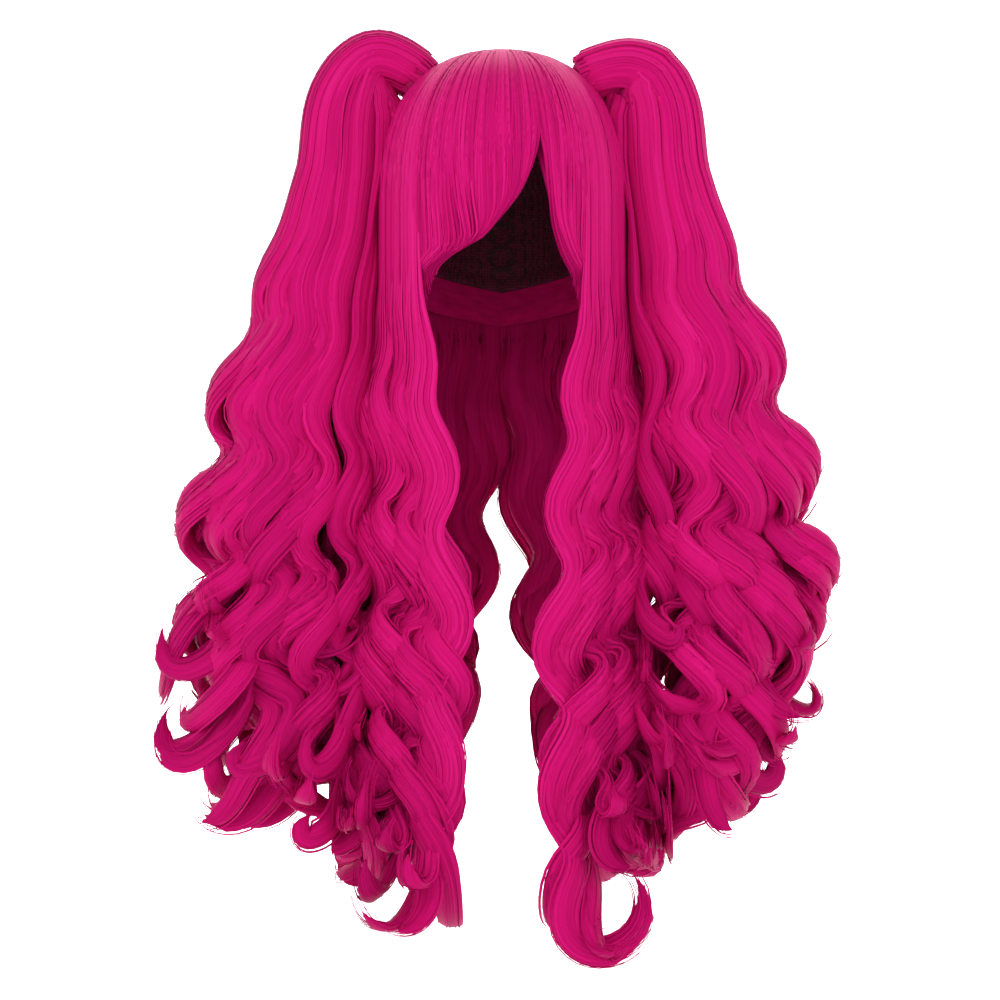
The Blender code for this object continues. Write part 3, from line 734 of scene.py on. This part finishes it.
def split(rows, spread, chance):
    """Columns of a table with each row split into locks, evenly spaced round about it and moved
    at random in the rest, and how far the phase of each has moved at its tip."""
    count = len(rows) * spread.locks
    get = {name: np.repeat(column(rows, name), spread.locks) for name in rows[0]._fields}
    first = rows[0]._fields[0]
    places = np.tile(np.arange(spread.locks) - (spread.locks - 1) / 2, len(rows))
    get[first] = get[first] + places * spread.around
    if "end" in get:
        get["end"] = get["end"] + places * spread.around
    layer = "layer" if "layer" in get else "share"
    get[layer] = get[layer] + spread.layer * chance.uniform(-1.0, 1.0, count)
    get["reach"] = get["reach"] * (1.0 - spread.reach * chance.random(count) ** 2.0)
    get["curl"] = get["curl"] + spread.curl * chance.uniform(-1.0, 1.0, count)
    get["phase"] = get["phase"] + spread.phase * chance.normal(size=count)
    get["lag"] = spread.lag * chance.normal(size=count)
    get["pace"] = 1.0 + 0.10 * chance.normal(size=count)
    get["wound"] = chance.random(count)
    get["reach"] = get["reach"] * (1.03 + 0.07 * get["wound"])
    return {name: values[:, None] for name, values in get.items()}


def loose_clumps(table, spread, side, wave, chance):
    """Clumps of one half's loose hair: each hangs on the oval ring at its drop and winds round
    its own middle, wider as it falls."""
    get = split(table, spread, chance)
    share = np.linspace(0.0, 1.0, STATIONS)[None]
    travelled = share * (HEAD_ARC + get["reach"] * HAIR_LENGTH - HEAD_RISE)
    slope = STRAND_SLOPE + (math.pi / 2 - STRAND_SLOPE) * np.minimum(travelled / HEAD_ARC, 1.0)
    slope = slope + np.maximum(travelled - HEAD_ARC, 0.0) / HEAD_RISE
    drops = drop_at(slope)
    levels = drops / HAIR_LENGTH
    hang = np.clip((drops - 0.11) / (get["reach"] * HAIR_LENGTH - 0.11), 0.0, 1.0)
    swing = np.radians(get["turn"] + (get["end"] - get["turn"]) * eased(hang / get["settle"]))
    across = read(HANGING_RINGS, "drop", "across", levels) * HAIR_SPREAD
    before, behind = (read(HANGING_RINGS, "drop", name, levels) for name in ("front", "back"))
    depth = HAIR_FRONT * np.where(np.cos(swing) > 0, before, behind)
    layer = get["layer"] * LAYER * eased((drops - 0.12) / 0.15)
    flat = np.zeros_like(drops)
    tangent = unit(np.stack((across * np.cos(swing), depth * np.sin(swing), flat), -1))
    out = np.stack((tangent[..., 1], -tangent[..., 0], flat), -1)
    line = np.stack((across * np.sin(swing), -depth * np.cos(swing), -drops), -1)
    line = line + out * layer[..., None]
    phase = curl_phase(drops, wave, (RIGHT_CREST if side > 0 else LEFT_CREST).loose)
    phase = phase + (get["pace"] - 1.0) * np.maximum(phase, 0.0)
    phase = phase + np.radians(get["phase"] + get["lag"] * eased((drops - 0.30) / 0.35))
    widening = 1.0 + LOOSE_WIDENING * eased((share - TIP_START) / TIP_SPAN)
    half = get["half"] * MM * read(CLUMP_SWELL, "share", "fullness", share)
    clumps = {
        "curl": get["curl"] * MM * opened(LOOSE_OPENING, drops) * widening,
        "phase": phase,
        "half": half,
        "deep": half * LOOSE_DEPTH,
        "tone": chance.random(len(drops)),
        "slope": slope,
        "turn": np.radians(get["turn"][:, 0]) * side,
    }
    return finished(line, tangent, out, side, get["wound"], clumps, True)


def finished(line, tangent, out, side, wound, clumps, loose):
    """One side's clumps with their lines and the way along each curled one. Their curls stop
    winding before the tips, which hook round the way that the curl was going, loose hair away
    from the middle. The middles of the curls are held off the middle plane and inside the reach."""
    mirror = np.array((side, 1.0, 1.0))
    line, tangent, out = line * mirror, tangent * mirror, out * mirror
    share = np.linspace(0.0, 1.0, STATIONS)[None]
    steps = np.diff(clumps["phase"], axis=1, prepend=clumps["phase"][:, :1])
    steps = steps * (1.0 - eased((share - UNWIND_START) / UNWIND_SPAN))
    clumps["phase"] = clumps["phase"][:, :1] + np.cumsum(steps, axis=1)
    last = clumps["phase"][:, -1:, None]
    way = unit(out[:, -1:] * (0.2 + 0.5 * np.cos(last)) - tangent[:, -1:] * np.sin(last))
    if loose:
        way[..., 0] = np.abs(way[..., 0]) * side
    bend = np.clip((share - HOOK_START) / (1.0 - HOOK_START), 0, 1) ** HOOK_POWER
    bend = np.radians(HOOK_LEAST + HOOK_MORE * wound) * bend
    run = np.linalg.norm(np.gradient(line, axis=1), axis=-1)
    aside = np.cumsum(run * np.sin(bend), axis=1)
    raised = np.cumsum(run * (1.0 - np.cos(bend)), axis=1)
    up = np.array((0.0, 0.0, 1.0))
    line = line + way * aside[..., None] + up * raised[..., None]
    tilt = way * (np.cos(bend) - 1.0)[..., None] + up * np.sin(bend)[..., None]
    tangent, out = tangent + dot(tangent, way) * tilt, out + dot(out, way) * tilt
    middle = curled(line, tangent, out, clumps["curl"], clumps["phase"])
    low = NEAR_LOW if loose else wall_out(middle) + BESIDE_WALL
    near = NEAR_TOP + (low - NEAR_TOP) * eased((-middle[..., 2] - NEAR_DROP) / NEAR_SPAN)
    outwards = at_least(middle[..., 0] * side, near, SOFT_NEAR)
    outwards = at_most(outwards, WIDEST - INSIDE_SIDE, SOFT_SIDE)
    depth = at_least(middle[..., 1], FOREMOST + INSIDE_DEPTH, SOFT_DEPTH)
    depth = at_most(depth, HINDMOST - INSIDE_DEPTH, SOFT_DEPTH)
    held = np.stack((outwards * side, depth, middle[..., 2]), axis=-1)
    line = line + held - middle
    clumps.update(line=line, tangent=tangent, out=out, along=np.gradient(held, axis=1))
    return clumps


def wall_out(points):
    """How far out the wall between loose hair and pigtail stands at each point's height."""
    return read(PIGTAIL_WALL, "drop", "out", -points[..., 2] / HAIR_LENGTH) * HAIR_SPREAD


def wall_limit(side, loose):
    """Holds points on one side of the upright wall between loose hair and pigtail, each a little
    over it, and inside the reach."""

    def limit(points):
        wall, outwards = wall_out(points), points[..., 0] * side
        if loose:
            outwards = at_most(outwards, wall + LOOSE_OVER, SOFT_WALL)
        else:
            outwards = at_least(outwards, wall - PIGTAIL_OVER, SOFT_WALL)
        outwards = at_most(outwards, WIDEST, SOFT_REACH)
        depth = at_least(points[..., 1], FOREMOST, SOFT_REACH)
        depth = at_most(depth, HINDMOST, SOFT_REACH)
        return np.stack((outwards * side, depth, points[..., 2]), axis=-1)

    return limit


def over_head(clumps, sector):
    """How a strand lies on the cap: at a turn across its clump's sector and a depth in the sewn
    hair, blended into the clump below the cap."""

    def shell(which, a, b, places, under=0.0):
        slope = gather(clumps["slope"], which, places)
        turn = (clumps["turn"][which] - a * sector)[:, None]
        offset = hair_depth(slope) + LOFT - under - SEWN_DEPTH * (0.5 - 0.45 * b)[:, None]
        over = dome(turn, slope, offset)
        blend = eased((drop_at(slope) - LEAVE_DROP) / LEAVE_SPAN)
        return over, blend, unit(over - dome(turn, slope, offset - OUT_STEP))

    return shell


def undercoat(tufts, start, end, rim, edge):
    """A closed shell on the cap under the strands, between two turns and down to a rim: the dome
    at two offsets, which come together towards the rim and at both turns."""
    turns = np.linspace(min(start, end), max(start, end), UNDERCOAT_TURNS)
    share = np.linspace(0.0, 1.0, UNDERCOAT_STEPS)[:, None]
    slope = UNDERCOAT_SLOPE + (slope_at(rim(turns))[None] - UNDERCOAT_SLOPE) * share
    swing = np.radians(turns)[None]
    place = np.arange(UNDERCOAT_TURNS)
    ends = np.clip(np.minimum(place, place[::-1]) / 2.0, 0.0, 1.0)
    low = CAP_WALL + UNDERCOAT_OFF
    high = hair_depth(slope) + LOFT - UNDERCOAT_UNDER
    high = high * (1.0 - edge * eased((share - 0.45) / 0.55))
    high = low + np.maximum(high - low, UNDERCOAT_LEAST) * ends
    inner, outer = dome(swing, slope, low), dome(swing, slope, high)
    sheet = np.concatenate((outer, inner[::-1], outer[:1]))
    tufts.sheets(sheet.transpose(1, 0, 2)[None], np.array((0.4,)), np.array((0.4,)), False)


def sewn_rim(degrees):
    return RIM_DROP * rim_at(SEWN_RIM, degrees)


def dressed(tufts, name, node):
    """The finished piece in place of its CAD node."""
    piece = tufts.made(name, hair_material())
    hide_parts(node)
    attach(piece, "root")
    return piece


def head_hair(name, side, table, spread, span, number, node, seed):
    """One half's side or back hair: sewn over the cap and hanging loose."""
    sizes = bpy.context.scene.wig_hair
    chance = np.random.default_rng(seed)
    tufts = Tufts()
    clumps = loose_clumps(table, spread, side, sizes.wave, chance)
    shell = over_head(clumps, math.radians(spread.around))
    limit = wall_limit(side, True)
    share = spaced(76, HANGING_PACE)
    bundle(tufts, chance, clumps, number, share, sizes.strand_width, limit, shell)
    cores(tufts, clumps, share, 0.18, 0.98, limit, shell)
    first, last = span
    undercoat(tufts, first * side, last * side, lambda at: sewn_rim(np.abs(at)), 0.8)
    return dressed(tufts, name, node)


def fringe_drop(degrees):
    return FRINGE_DROP * rim_at(FRINGE_RIM, degrees)


def fringe_edge(levels, handed):
    """The turn of the fringe's edge on one side of the parting at each drop, averaged over a few
    drops nearby. Above the parting's foot it runs back across."""
    rows = [row for row in FRINGE_RIM if (row.turn - PARTING_TURN) * handed >= 0]
    rows = sorted(rows, key=lambda row: row.drop)
    near = levels[..., None] + np.linspace(-0.04, 0.04, 7)
    edge = np.interp(near, column(rows, "drop"), column(rows, "turn")).mean(axis=-1)
    return edge - handed * 70.0 * np.maximum(rows[0].drop - levels, 0.0)


def fringe(name, first, last, flow, node, seed):
    """Strands over the face opening. Each falls from the crown at its own turn and bends where it
    meets a line that runs inside the rim, which comes to the rim at the strand's tip."""
    sizes = bpy.context.scene.wig_hair
    chance = np.random.default_rng(seed)
    number = int(sizes.fringe_strands * abs(last - first))
    share = spaced(22, FRINGE_PACE)[None]
    root = first + (last - first) * chance.random(number)
    depth = (1.0 - FRINGE_FILL * chance.random(number) ** 1.5)[:, None]
    end = read(flow, "turn", "end", root) + END_VARIES * chance.normal(size=number)
    inside = read(flow, "turn", "inside", root)[:, None] * MM + 0.004 * (1 - depth)
    reach = fringe_drop(np.clip(end, -TEMPLE_TURN, TEMPLE_TURN))
    reach = reach + 0.001 - 0.010 * chance.random(number) ** 3
    beside = eased((np.abs(end) - BESIDE_TURN) / BESIDE_SPAN)
    reach = reach + beside * chance.uniform(BESIDE_SHORT, BESIDE_LONG, number)
    slope = STRAND_SLOPE + (slope_at(reach)[:, None] - STRAND_SLOPE) * share
    drops = drop_at(slope)
    handed = 1.0 if last > PARTING_TURN else -1.0
    edge = handed * fringe_edge((drops + inside * (1 - share**3)) / FRINGE_DROP, handed)
    turn = handed * at_least(handed * root[:, None], edge, 3.0)
    turn = np.radians(turn + (end[:, None] - turn[:, -1:]) * share**4)
    full = hair_depth(slope) + LOFT
    sunk = FRINGE_EDGE + (full[:, -1:] - 0.003 - FRINGE_EDGE) * beside[:, None]
    high = full + (sunk - full) * eased((drops / reach[:, None] - 0.5) / 0.5)
    lock = np.floor(root / FRINGE_LOCK + 0.25 * chance.normal(size=number)).astype(int) + 64
    lift = FRINGE_LIFT * np.sin(root * 1.9 + 3 * np.sin(root * 0.37))[:, None]
    lift = lift * np.sin(math.pi * share)
    low = CAP_WALL + FRINGE_OFF
    offset = low + (high + lift - low) * depth
    paths = dome(turn, slope, offset)
    faces = unit(paths - dome(turn, slope, offset - OUT_STEP))
    faces = unit(faces + 0.06 * unit(chance.normal(size=(number, 1, 3))))
    varied = WIDTH_LEAST + WIDTH_VARIES * chance.random((number, 1))
    widths = 0.8 * sizes.strand_width * varied
    widths = widths * taper(share, 0.08 + 0.12 * chance.random(number))
    tufts = Tufts()
    tone = np.random.default_rng(seed + 1).random(128)
    tufts.ribbons(paths, faces, widths, chance.random(number), 0.2 + 0.8 * tone[lock])
    undercoat(tufts, first, last, lambda at: fringe_drop(at) - FRINGE_SHOWS, 0.62)
    return dressed(tufts, name, node)


def clip_seat():
    """Where the right clip lies on the hair, and the way out of the dome there."""
    slope, turn = math.radians(CLIP_SLOPE), math.pi / 2
    offset = float(hair_depth(slope)) + RIDGE_DEPTH + GAP
    seat = dome(turn, slope, offset)
    down = unit(dome(turn, slope + 0.02, offset) - dome(turn, slope - 0.02, offset))
    return seat, np.cross(np.array((0.0, -1.0, 0.0)), down)


Knot = namedtuple("Knot", "share x y z full")


def pigtail_line(shares):
    """The right pigtail's middle line and fullness at shares of its length: a smooth curve from
    inside the clip through the stages."""
    seat, out = clip_seat()
    root = seat + out * (CLIP_THICKNESS + GAP)
    scale = (PIGTAIL_REACH, -PIGTAIL_FORWARD, -PIGTAIL_LENGTH, PIGTAIL_FULLNESS)
    rows = [(*(root - out * ROOT_DEPTH), 0.33 * PIGTAIL_FULLNESS)]
    rows.append((*root, 0.35 * PIGTAIL_FULLNESS))
    for stage in PIGTAIL_STAGES:
        values = (stage.out, stage.forward, stage.drop, stage.fullness)
        rows.append(tuple(value * size for value, size in zip(values, scale)))
    rows = np.array(rows)
    steps = np.linalg.norm(np.diff(rows[:, :3], axis=0), axis=1)
    knots = np.concatenate(((0.0,), np.cumsum(steps)))
    length = knots[-1]
    table = [Knot(*values) for values in zip(knots / length, *rows.T)]
    line = np.stack([read(table, "share", name, shares) for name in "xyz"], axis=-1)
    return line, np.interp(shares, knots / length, rows[:, 3]), length


def pigtail_clumps(side, wave, chance):
    """Clumps of a pigtail: each keeps its place round the middle line, as a share of the line's
    fullness, and winds round itself, wider as it falls. Those on the inner side keep close to the
    cap under the clip and away from it below."""
    get = split(PIGTAIL_TRESSES, PIGTAIL_SPREAD, chance)
    part = np.linspace(0.0, 1.0, STATIONS)[None]
    share = part * get["reach"]
    middle, full, length = pigtail_line(share)
    above = np.maximum(middle[..., 2] - middle[:, :1, 2], 0.0)
    middle[..., 2] -= above * (1 - (RIGHT_ARCH if side > 0 else LEFT_ARCH))
    along = unit(np.gradient(middle, axis=1))
    outer = np.cross(np.array((0.0, -1.0, 0.0)), along)
    front = np.cross(along, outer)
    place = np.radians(get["place"])[..., None]
    radial = outer * np.cos(place) + front * np.sin(place) * PIGTAIL_DEPTH
    tangent = front * np.cos(place) - outer * np.sin(place)
    travelled = share * length
    inner = np.maximum(-np.cos(place[..., 0]), 0.0)
    hug = 1.0 - 0.55 * inner * (1.0 - eased((travelled - 0.034) / 0.036))
    stand = eased((travelled - 0.046) / 0.05) * (1.0 - eased((travelled - 0.14) / 0.15))
    hug = hug + 0.46 * inner * stand
    line = middle + radial * (full * get["share"] * hug)[..., None]
    phase = curl_phase(-middle[..., 2], wave, (RIGHT_CREST if side > 0 else LEFT_CREST).pigtail)
    phase = phase + (get["pace"] - 1.0) * np.maximum(phase - 2 * math.pi, 0.0)
    phase = phase + np.radians(get["phase"] + get["lag"] * eased((travelled - 0.35) / 0.3))
    widening = 1.0 + PIGTAIL_WIDENING * eased((part - TIP_START) / TIP_SPAN)
    widest = np.minimum(get["half"] * MM, (0.42 + 0.20 * eased(travelled / 0.10)) * full)
    half = widest * read(CLUMP_SWELL, "share", "fullness", 0.2 + 0.8 * part)
    clumps = {
        "curl": get["curl"] * MM * opened(PIGTAIL_OPENING, travelled) * widening,
        "phase": phase,
        "half": half,
        "deep": half * PIGTAIL_LOCK_DEPTH,
        "tone": chance.random(len(line)),
    }
    return finished(line, tangent, radial, side, get["wound"], clumps, False)


def put(node, **values):
    """Set a node's inputs by name, with _ for a space."""
    for name, value in values.items():
        node.inputs[name.replace("_", " ")].default_value = value


def material(name):
    """A new material with its nodes, its links and its main shader."""
    made = bpy.data.materials.new(name)
    made.use_nodes = True
    tree = made.node_tree
    return made, tree.nodes, tree.links, tree.nodes["Principled BSDF"]


def feed(links, socket, value):
    """Link a socket to another, or set it to a plain value."""
    if hasattr(value, "is_output"):
        links.new(value, socket)
    else:
        socket.default_value = value


def mixed(nodes, links, factor, first, second):
    """A colour between two, each a socket or a plain colour."""
    node = nodes.new("ShaderNodeMix")
    node.data_type = "RGBA"
    for name, value in (("Factor", factor), ("A", first), ("B", second)):
        feed(links, node.inputs[name], value)
    return node.outputs["Result"]


def fibre_group():
    """A group of nodes that gives the colour and roughness of fibre from the tone of the strand,
    the tone of its lock, its share of the way to the tip and fine streaks along it. Its colour runs
    from painted shade through the main colour to a painted highlight."""
    group = bpy.data.node_groups.new("fibre tone", "ShaderNodeTree")
    for way, kind, names in (
        ("INPUT", "Float", ("Strand", "Lock", "Share", "Gloss")),
        ("INPUT", "Vector", ("Map",)),
        ("INPUT", "Color", ("Dark", "Middle", "Bright")),
        ("OUTPUT", "Color", ("Colour",)),
        ("OUTPUT", "Float", ("Roughness",)),
    ):
        for name in names:
            kind_name = "NodeSocket" + kind
            group.interface.new_socket(name=name, in_out=way, socket_type=kind_name)
    nodes, links = group.nodes, group.links
    start, end = nodes.new("NodeGroupInput").outputs, nodes.new("NodeGroupOutput").inputs

    def worked(kind, first, second, clamp=False):
        node = nodes.new("ShaderNodeMath")
        node.operation = kind
        node.use_clamp = clamp
        for socket, value in zip(node.inputs, (first, second)):
            feed(links, socket, value)
        return node.outputs[0]

    stretch = nodes.new("ShaderNodeMapping")
    put(stretch, Scale=(3.0, 14.0, 1.0))
    links.new(start["Map"], stretch.inputs["Vector"])
    noise = nodes.new("ShaderNodeTexNoise")
    noise.noise_dimensions = "2D"
    put(noise, Scale=1.0, Detail=2.0)
    links.new(stretch.outputs[0], noise.inputs["Vector"])
    streak = noise.outputs["Fac"]
    # Strand and lock tones and the streaks, darker towards the tips, pick a colour from painted
    # shade through the main colour to a painted highlight
    blend = worked("MULTIPLY", start["Strand"], 0.26)
    blend = worked("ADD", blend, worked("MULTIPLY", start["Lock"], 0.20))
    blend = worked("ADD", blend, worked("MULTIPLY", streak, 0.54), True)
    blend = worked("SUBTRACT", blend, worked("MULTIPLY", start["Share"], 0.20), True)
    low = worked("MULTIPLY", blend, 2.2, True)
    high = worked("MULTIPLY", worked("SUBTRACT", blend, 0.45), 2.0, True)
    colour = mixed(nodes, links, low, start["Dark"], start["Middle"])
    links.new(mixed(nodes, links, high, colour, start["Bright"]), end["Colour"])
    rough = worked("MULTIPLY", streak, 0.22)
    links.new(worked("ADD", start["Gloss"], rough), end["Roughness"])
    return group


def hair_material():
    """Glossy synthetic fibre, a little different from strand to strand and lock to lock, with
    painted shade in its darkest tones and a painted highlight in its lightest.
    """
    found = bpy.data.materials.get("magenta fibre")
    if found:
        return found
    sizes = bpy.context.scene.wig_hair
    made, nodes, links, shader = material("magenta fibre")
    group = nodes.new("ShaderNodeGroup")
    group.node_tree = fibre_group()
    for name, socket in (("tone", "Strand"), ("lock", "Lock"), ("share", "Share")):
        tone = nodes.new("ShaderNodeAttribute")
        tone.attribute_name = name
        links.new(tone.outputs["Fac"], group.inputs[socket])
    where = nodes.new("ShaderNodeUVMap")
    where.uv_map = "strand"
    links.new(where.outputs[0], group.inputs["Map"])
    # The dark colour is painted shade and the lightest colour a painted highlight
    dark, middle, bright = ((*colour, 1.0) for colour in (sizes.dark, sizes.middle, sizes.bright))
    put(group, Dark=dark, Middle=middle, Bright=bright, Gloss=0.36)
    links.new(group.outputs["Colour"], shader.inputs["Base Color"])
    links.new(group.outputs["Roughness"], shader.inputs["Roughness"])
    put(shader, Specular_IOR_Level=0.20, IOR=1.3, Specular_Tint=(1.0, 0.12, 0.42, 1.0))
    return made


def net_material():
    """Elastic net: dark threads round small cells, with the hair's colour behind the holes,
    darkened as painted shade.
    """
    sizes = bpy.context.scene.wig_cap
    made, nodes, links, shader = material("cap net")
    where = nodes.new("ShaderNodeTexCoord")
    cells = nodes.new("ShaderNodeTexVoronoi")
    cells.feature = "DISTANCE_TO_EDGE"
    put(cells, Scale=1.0 / sizes.mesh_size, Randomness=0.35)
    links.new(where.outputs["Object"], cells.inputs["Vector"])
    edge = nodes.new("ShaderNodeMapRange")
    put(edge, From_Min=0.10, From_Max=0.20)
    links.new(cells.outputs["Distance"], edge.inputs["Value"])
    # The holes show the hair's colour darkened as painted shade
    holes = (*sizes.behind, 1.0)
    colour = mixed(nodes, links, edge.outputs[0], (*sizes.net, 1.0), holes)
    links.new(colour, shader.inputs["Base Color"])
    bump = nodes.new("ShaderNodeBump")
    bump.invert = True
    put(bump, Strength=0.6, Distance=0.0006)
    links.new(edge.outputs[0], bump.inputs["Height"])
    links.new(bump.outputs[0], shader.inputs["Normal"])
    put(shader, Roughness=0.75)
    return made


def plastic_material():
    """Moulded plastic of the clips, faintly mottled."""
    sizes = bpy.context.scene.wig_cap
    made, nodes, links, shader = material("clip plastic")
    where = nodes.new("ShaderNodeTexCoord")
    noise = nodes.new("ShaderNodeTexNoise")
    put(noise, Scale=300.0)
    links.new(where.outputs["Object"], noise.inputs["Vector"])
    dark, light = (*sizes.clip_dark, 1.0), (*sizes.clip_light, 1.0)
    colour = mixed(nodes, links, noise.outputs["Fac"], dark, light)
    links.new(colour, shader.inputs["Base Color"])
    put(shader, Roughness=0.6, Specular_IOR_Level=0.15)
    return made


def floor_material():
    """Plain pale matt."""
    made, _, _, shader = material("pale floor")
    put(shader, Base_Color=(0.93, 0.93, 0.93, 1.0), Roughness=0.9)
    return made


class WIG_OT_cap(bpy.types.Operator):
    """Build the net cap with its sewn rows and bound edge: the dome at two offsets, the inner one
    ridged by a cosine at each row and thicker at the rim."""

    bl_idname = "wig.cap"
    bl_label = "Cap"

    def execute(self, context):
        turns = np.linspace(-180.0, 180.0, 120, endpoint=False)
        rims = slope_at(RIM_DROP * rim_at(CAP_RIM, np.abs(turns)))
        share = np.linspace(0.0, 1.0, 62)[:, None]
        slope, swing = rims[None] * share, np.radians(turns)[None]
        rows = 0.5 + 0.5 * np.cos(2 * math.pi * share * context.scene.wig_cap.weft_rows)
        weft = WEFT_HEIGHT * eased((rows - 0.72) / 0.2) * (share < 0.955) * (share > 0.05)
        band = BAND_HEIGHT * eased((share - 0.95) / 0.012)
        inner = dome(swing, slope, NET_INSIDE - weft - band)
        outer = dome(swing, slope, CAP_WALL)
        sheet = np.concatenate((outer, inner[::-1]))
        tufts = Tufts()
        tufts.sheets(sheet[None], np.zeros(1), np.zeros(1), True)
        piece = tufts.made("cap_net", net_material())
        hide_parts("wig_cap")
        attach(piece, "root")
        return {"FINISHED"}


class WIG_OT_fringe(bpy.types.Operator):
    """Build the sweeping fringe and the short fringe beside it."""

    bl_idname = "wig.fringe"
    bl_label = "Fringe"

    def execute(self, context):
        end = TEMPLE_TURN + FRINGE_PAST
        fringe("sweep_strands", -end, PARTING_TURN, SWEEP_FLOW, "fringe_sweep", 11)
        fringe("side_fringe_strands", PARTING_TURN, end, SIDE_FRINGE_FLOW, "fringe_side", 21)
        return {"FINISHED"}


class WIG_OT_side_hair(bpy.types.Operator):
    """Build the hair that hangs at each side of the face opening."""

    bl_idname = "wig.side_hair"
    bl_label = "Side hair"

    def execute(self, context):
        count = context.scene.wig_hair.side_strands
        for word, side, seed in (("left", -1.0, 31), ("right", 1.0, 41)):
            name, node = "side_strands_" + word, "side_hair_" + word
            head_hair(name, side, SIDE_CLUMPS, SIDE_SPREAD, SIDE_TURNS, count, node, seed)
        return {"FINISHED"}


class WIG_OT_back_hair(bpy.types.Operator):
    """Build the hair that falls down each half of the back."""

    bl_idname = "wig.back_hair"
    bl_label = "Back hair"

    def execute(self, context):
        count = context.scene.wig_hair.back_strands
        for word, side, seed in (("left", -1.0, 51), ("right", 1.0, 61)):
            name, node = "back_strands_" + word, "back_hair_" + word
            head_hair(name, side, BACK_CLUMPS, BACK_SPREAD, BACK_TURNS, count, node, seed)
        return {"FINISHED"}


class WIG_OT_pigtails(bpy.types.Operator):
    """Build the two curled pigtails."""

    bl_idname = "wig.pigtails"
    bl_label = "Pigtails"

    def execute(self, context):
        sizes = context.scene.wig_hair
        share = spaced(84, PIGTAIL_PACE)
        for word, side, seed in (("left", -1.0, 71), ("right", 1.0, 81)):
            chance, tufts, limit = np.random.default_rng(seed), Tufts(), wall_limit(side, False)
            clumps = pigtail_clumps(side, sizes.wave, chance)
            number, width = sizes.pigtail_strands, sizes.strand_width
            bundle(tufts, chance, clumps, number, share, width, limit)
            cores(tufts, clumps, share, 0.0, 0.99, limit)
            dressed(tufts, "pigtail_strands_" + word, "pigtail_" + word)
        return {"FINISHED"}


class WIG_OT_clips(bpy.types.Operator):
    """Give the clips their plastic."""

    bl_idname = "wig.clips"
    bl_label = "Clips"

    def execute(self, context):
        finish = plastic_material()
        for word in ("left", "right"):
            bpy.data.objects["claw_clip_" + word].material_slots[0].material = finish
        return {"FINISHED"}


class WIG_OT_stage(bpy.types.Operator):
    """Set the floor, backdrop, lights and camera."""

    bl_idname = "wig.stage"
    bl_label = "Stage"

    def execute(self, context):
        sizes, scene = context.scene.wig_stage, context.scene
        column_left, row_down = MIDDLE_PIXEL
        centre = np.array((-column_left * sizes.pixel, 0.0, -row_down * sizes.pixel))
        depth = np.linspace(-6.0, 6.5, 60)
        height = sizes.floor + 5.0 * eased((depth - 3.0) / 3.5)
        wide = np.linspace(-7.0, 7.0, 9)
        grid = np.stack(np.broadcast_arrays(wide[None], depth[:, None], height[:, None]), -1)
        tufts = Tufts()
        tufts.sheets(grid[None], np.zeros(1), np.zeros(1), False)
        tufts.made("floor", floor_material())
        for name, place, aim, size, power in (
            ("key", (-1.2, -1.9, 0.9), (0, 0, -0.25), 1.6, 17.5),
            ("fill", (1.6, -1.9, 0.1), (0, 0, -0.3), 1.8, 10),
            ("wall", (0.0, 2.4, 2.4), (0, 4.6, -0.4), 3.5, 260),
        ):
            light = bpy.data.lights.new(name, "AREA")
            light.size = size
            light.energy = power
            lamp = bpy.data.objects.new(name, light)
            lamp.visible_camera = False
            scene.collection.objects.link(lamp)
            point_at(lamp, np.array(place), np.array(aim))
        scene.world = bpy.data.worlds.new("studio")
        scene.world.use_nodes = True
        put(
            scene.world.node_tree.nodes["Background"],
            Color=(1.0, 1.0, 1.0, 1.0),
            Strength=sizes.daylight,
        )
        scene.view_settings.view_transform = "Standard"
        view = bpy.data.cameras.new("camera")
        view.lens = SENSOR_WIDTH * sizes.distance / (PHOTO_WIDTH * sizes.pixel)
        view.dof.use_dof = False
        eye = bpy.data.objects.new("camera", view)
        scene.collection.objects.link(eye)
        point_at(eye, centre + np.array((0.0, -sizes.distance, 0.0)), centre)
        scene.camera = eye
        return {"FINISHED"}


def point_at(thing, place, aim):
    """Put a lamp or camera at a place, its -Z axis towards the aim and its Y axis up."""
    back = unit(place - aim)
    right = unit(np.cross(np.array((0.0, 0.001, 1.0)), back))
    up = np.cross(back, right)
    matrix = np.eye(4)
    matrix[:3, 0], matrix[:3, 1], matrix[:3, 2], matrix[:3, 3] = right, up, back, place
    thing.matrix_world = Matrix(matrix.tolist())


class WIG_PT_panel(bpy.types.Panel):
    """Lists the wig's builders and sizes."""

    bl_label = "Pigtail Wig"
    bl_idname = "WIG_PT_panel"
    bl_space_type = "VIEW_3D"
    bl_region_type = "UI"
    bl_category = "Wig"

    def draw(self, context):
        for operator in OPERATORS:
            self.layout.operator(operator.bl_idname)
        for name in ("wig_hair", "wig_cap", "wig_stage"):
            group = getattr(context.scene, name)
            box = self.layout.box()
            for label in group.bl_rna.properties.keys():
                if label not in ("rna_type", "name"):
                    box.prop(group, label)


OPERATORS = (
    WIG_OT_stage,
    WIG_OT_cap,
    WIG_OT_fringe,
    WIG_OT_side_hair,
    WIG_OT_back_hair,
    WIG_OT_pigtails,
    WIG_OT_clips,
)
CLASSES = (HairSizes, CapSizes, StageSizes, *OPERATORS, WIG_PT_panel)


def register():
    for item in CLASSES:
        bpy.utils.register_class(item)
    bpy.types.Scene.wig_hair = bpy.props.PointerProperty(type=HairSizes)
    bpy.types.Scene.wig_cap = bpy.props.PointerProperty(type=CapSizes)
    bpy.types.Scene.wig_stage = bpy.props.PointerProperty(type=StageSizes)


def unregister():
    for name in ("wig_hair", "wig_cap", "wig_stage"):
        delattr(bpy.types.Scene, name)
    for item in reversed(CLASSES):
        bpy.utils.unregister_class(item)


def main():
    register()
    for operator in OPERATORS:
        group, name = operator.bl_idname.split(".")
        getattr(getattr(bpy.ops, group), name)()


if __name__ == "__main__":
    main()
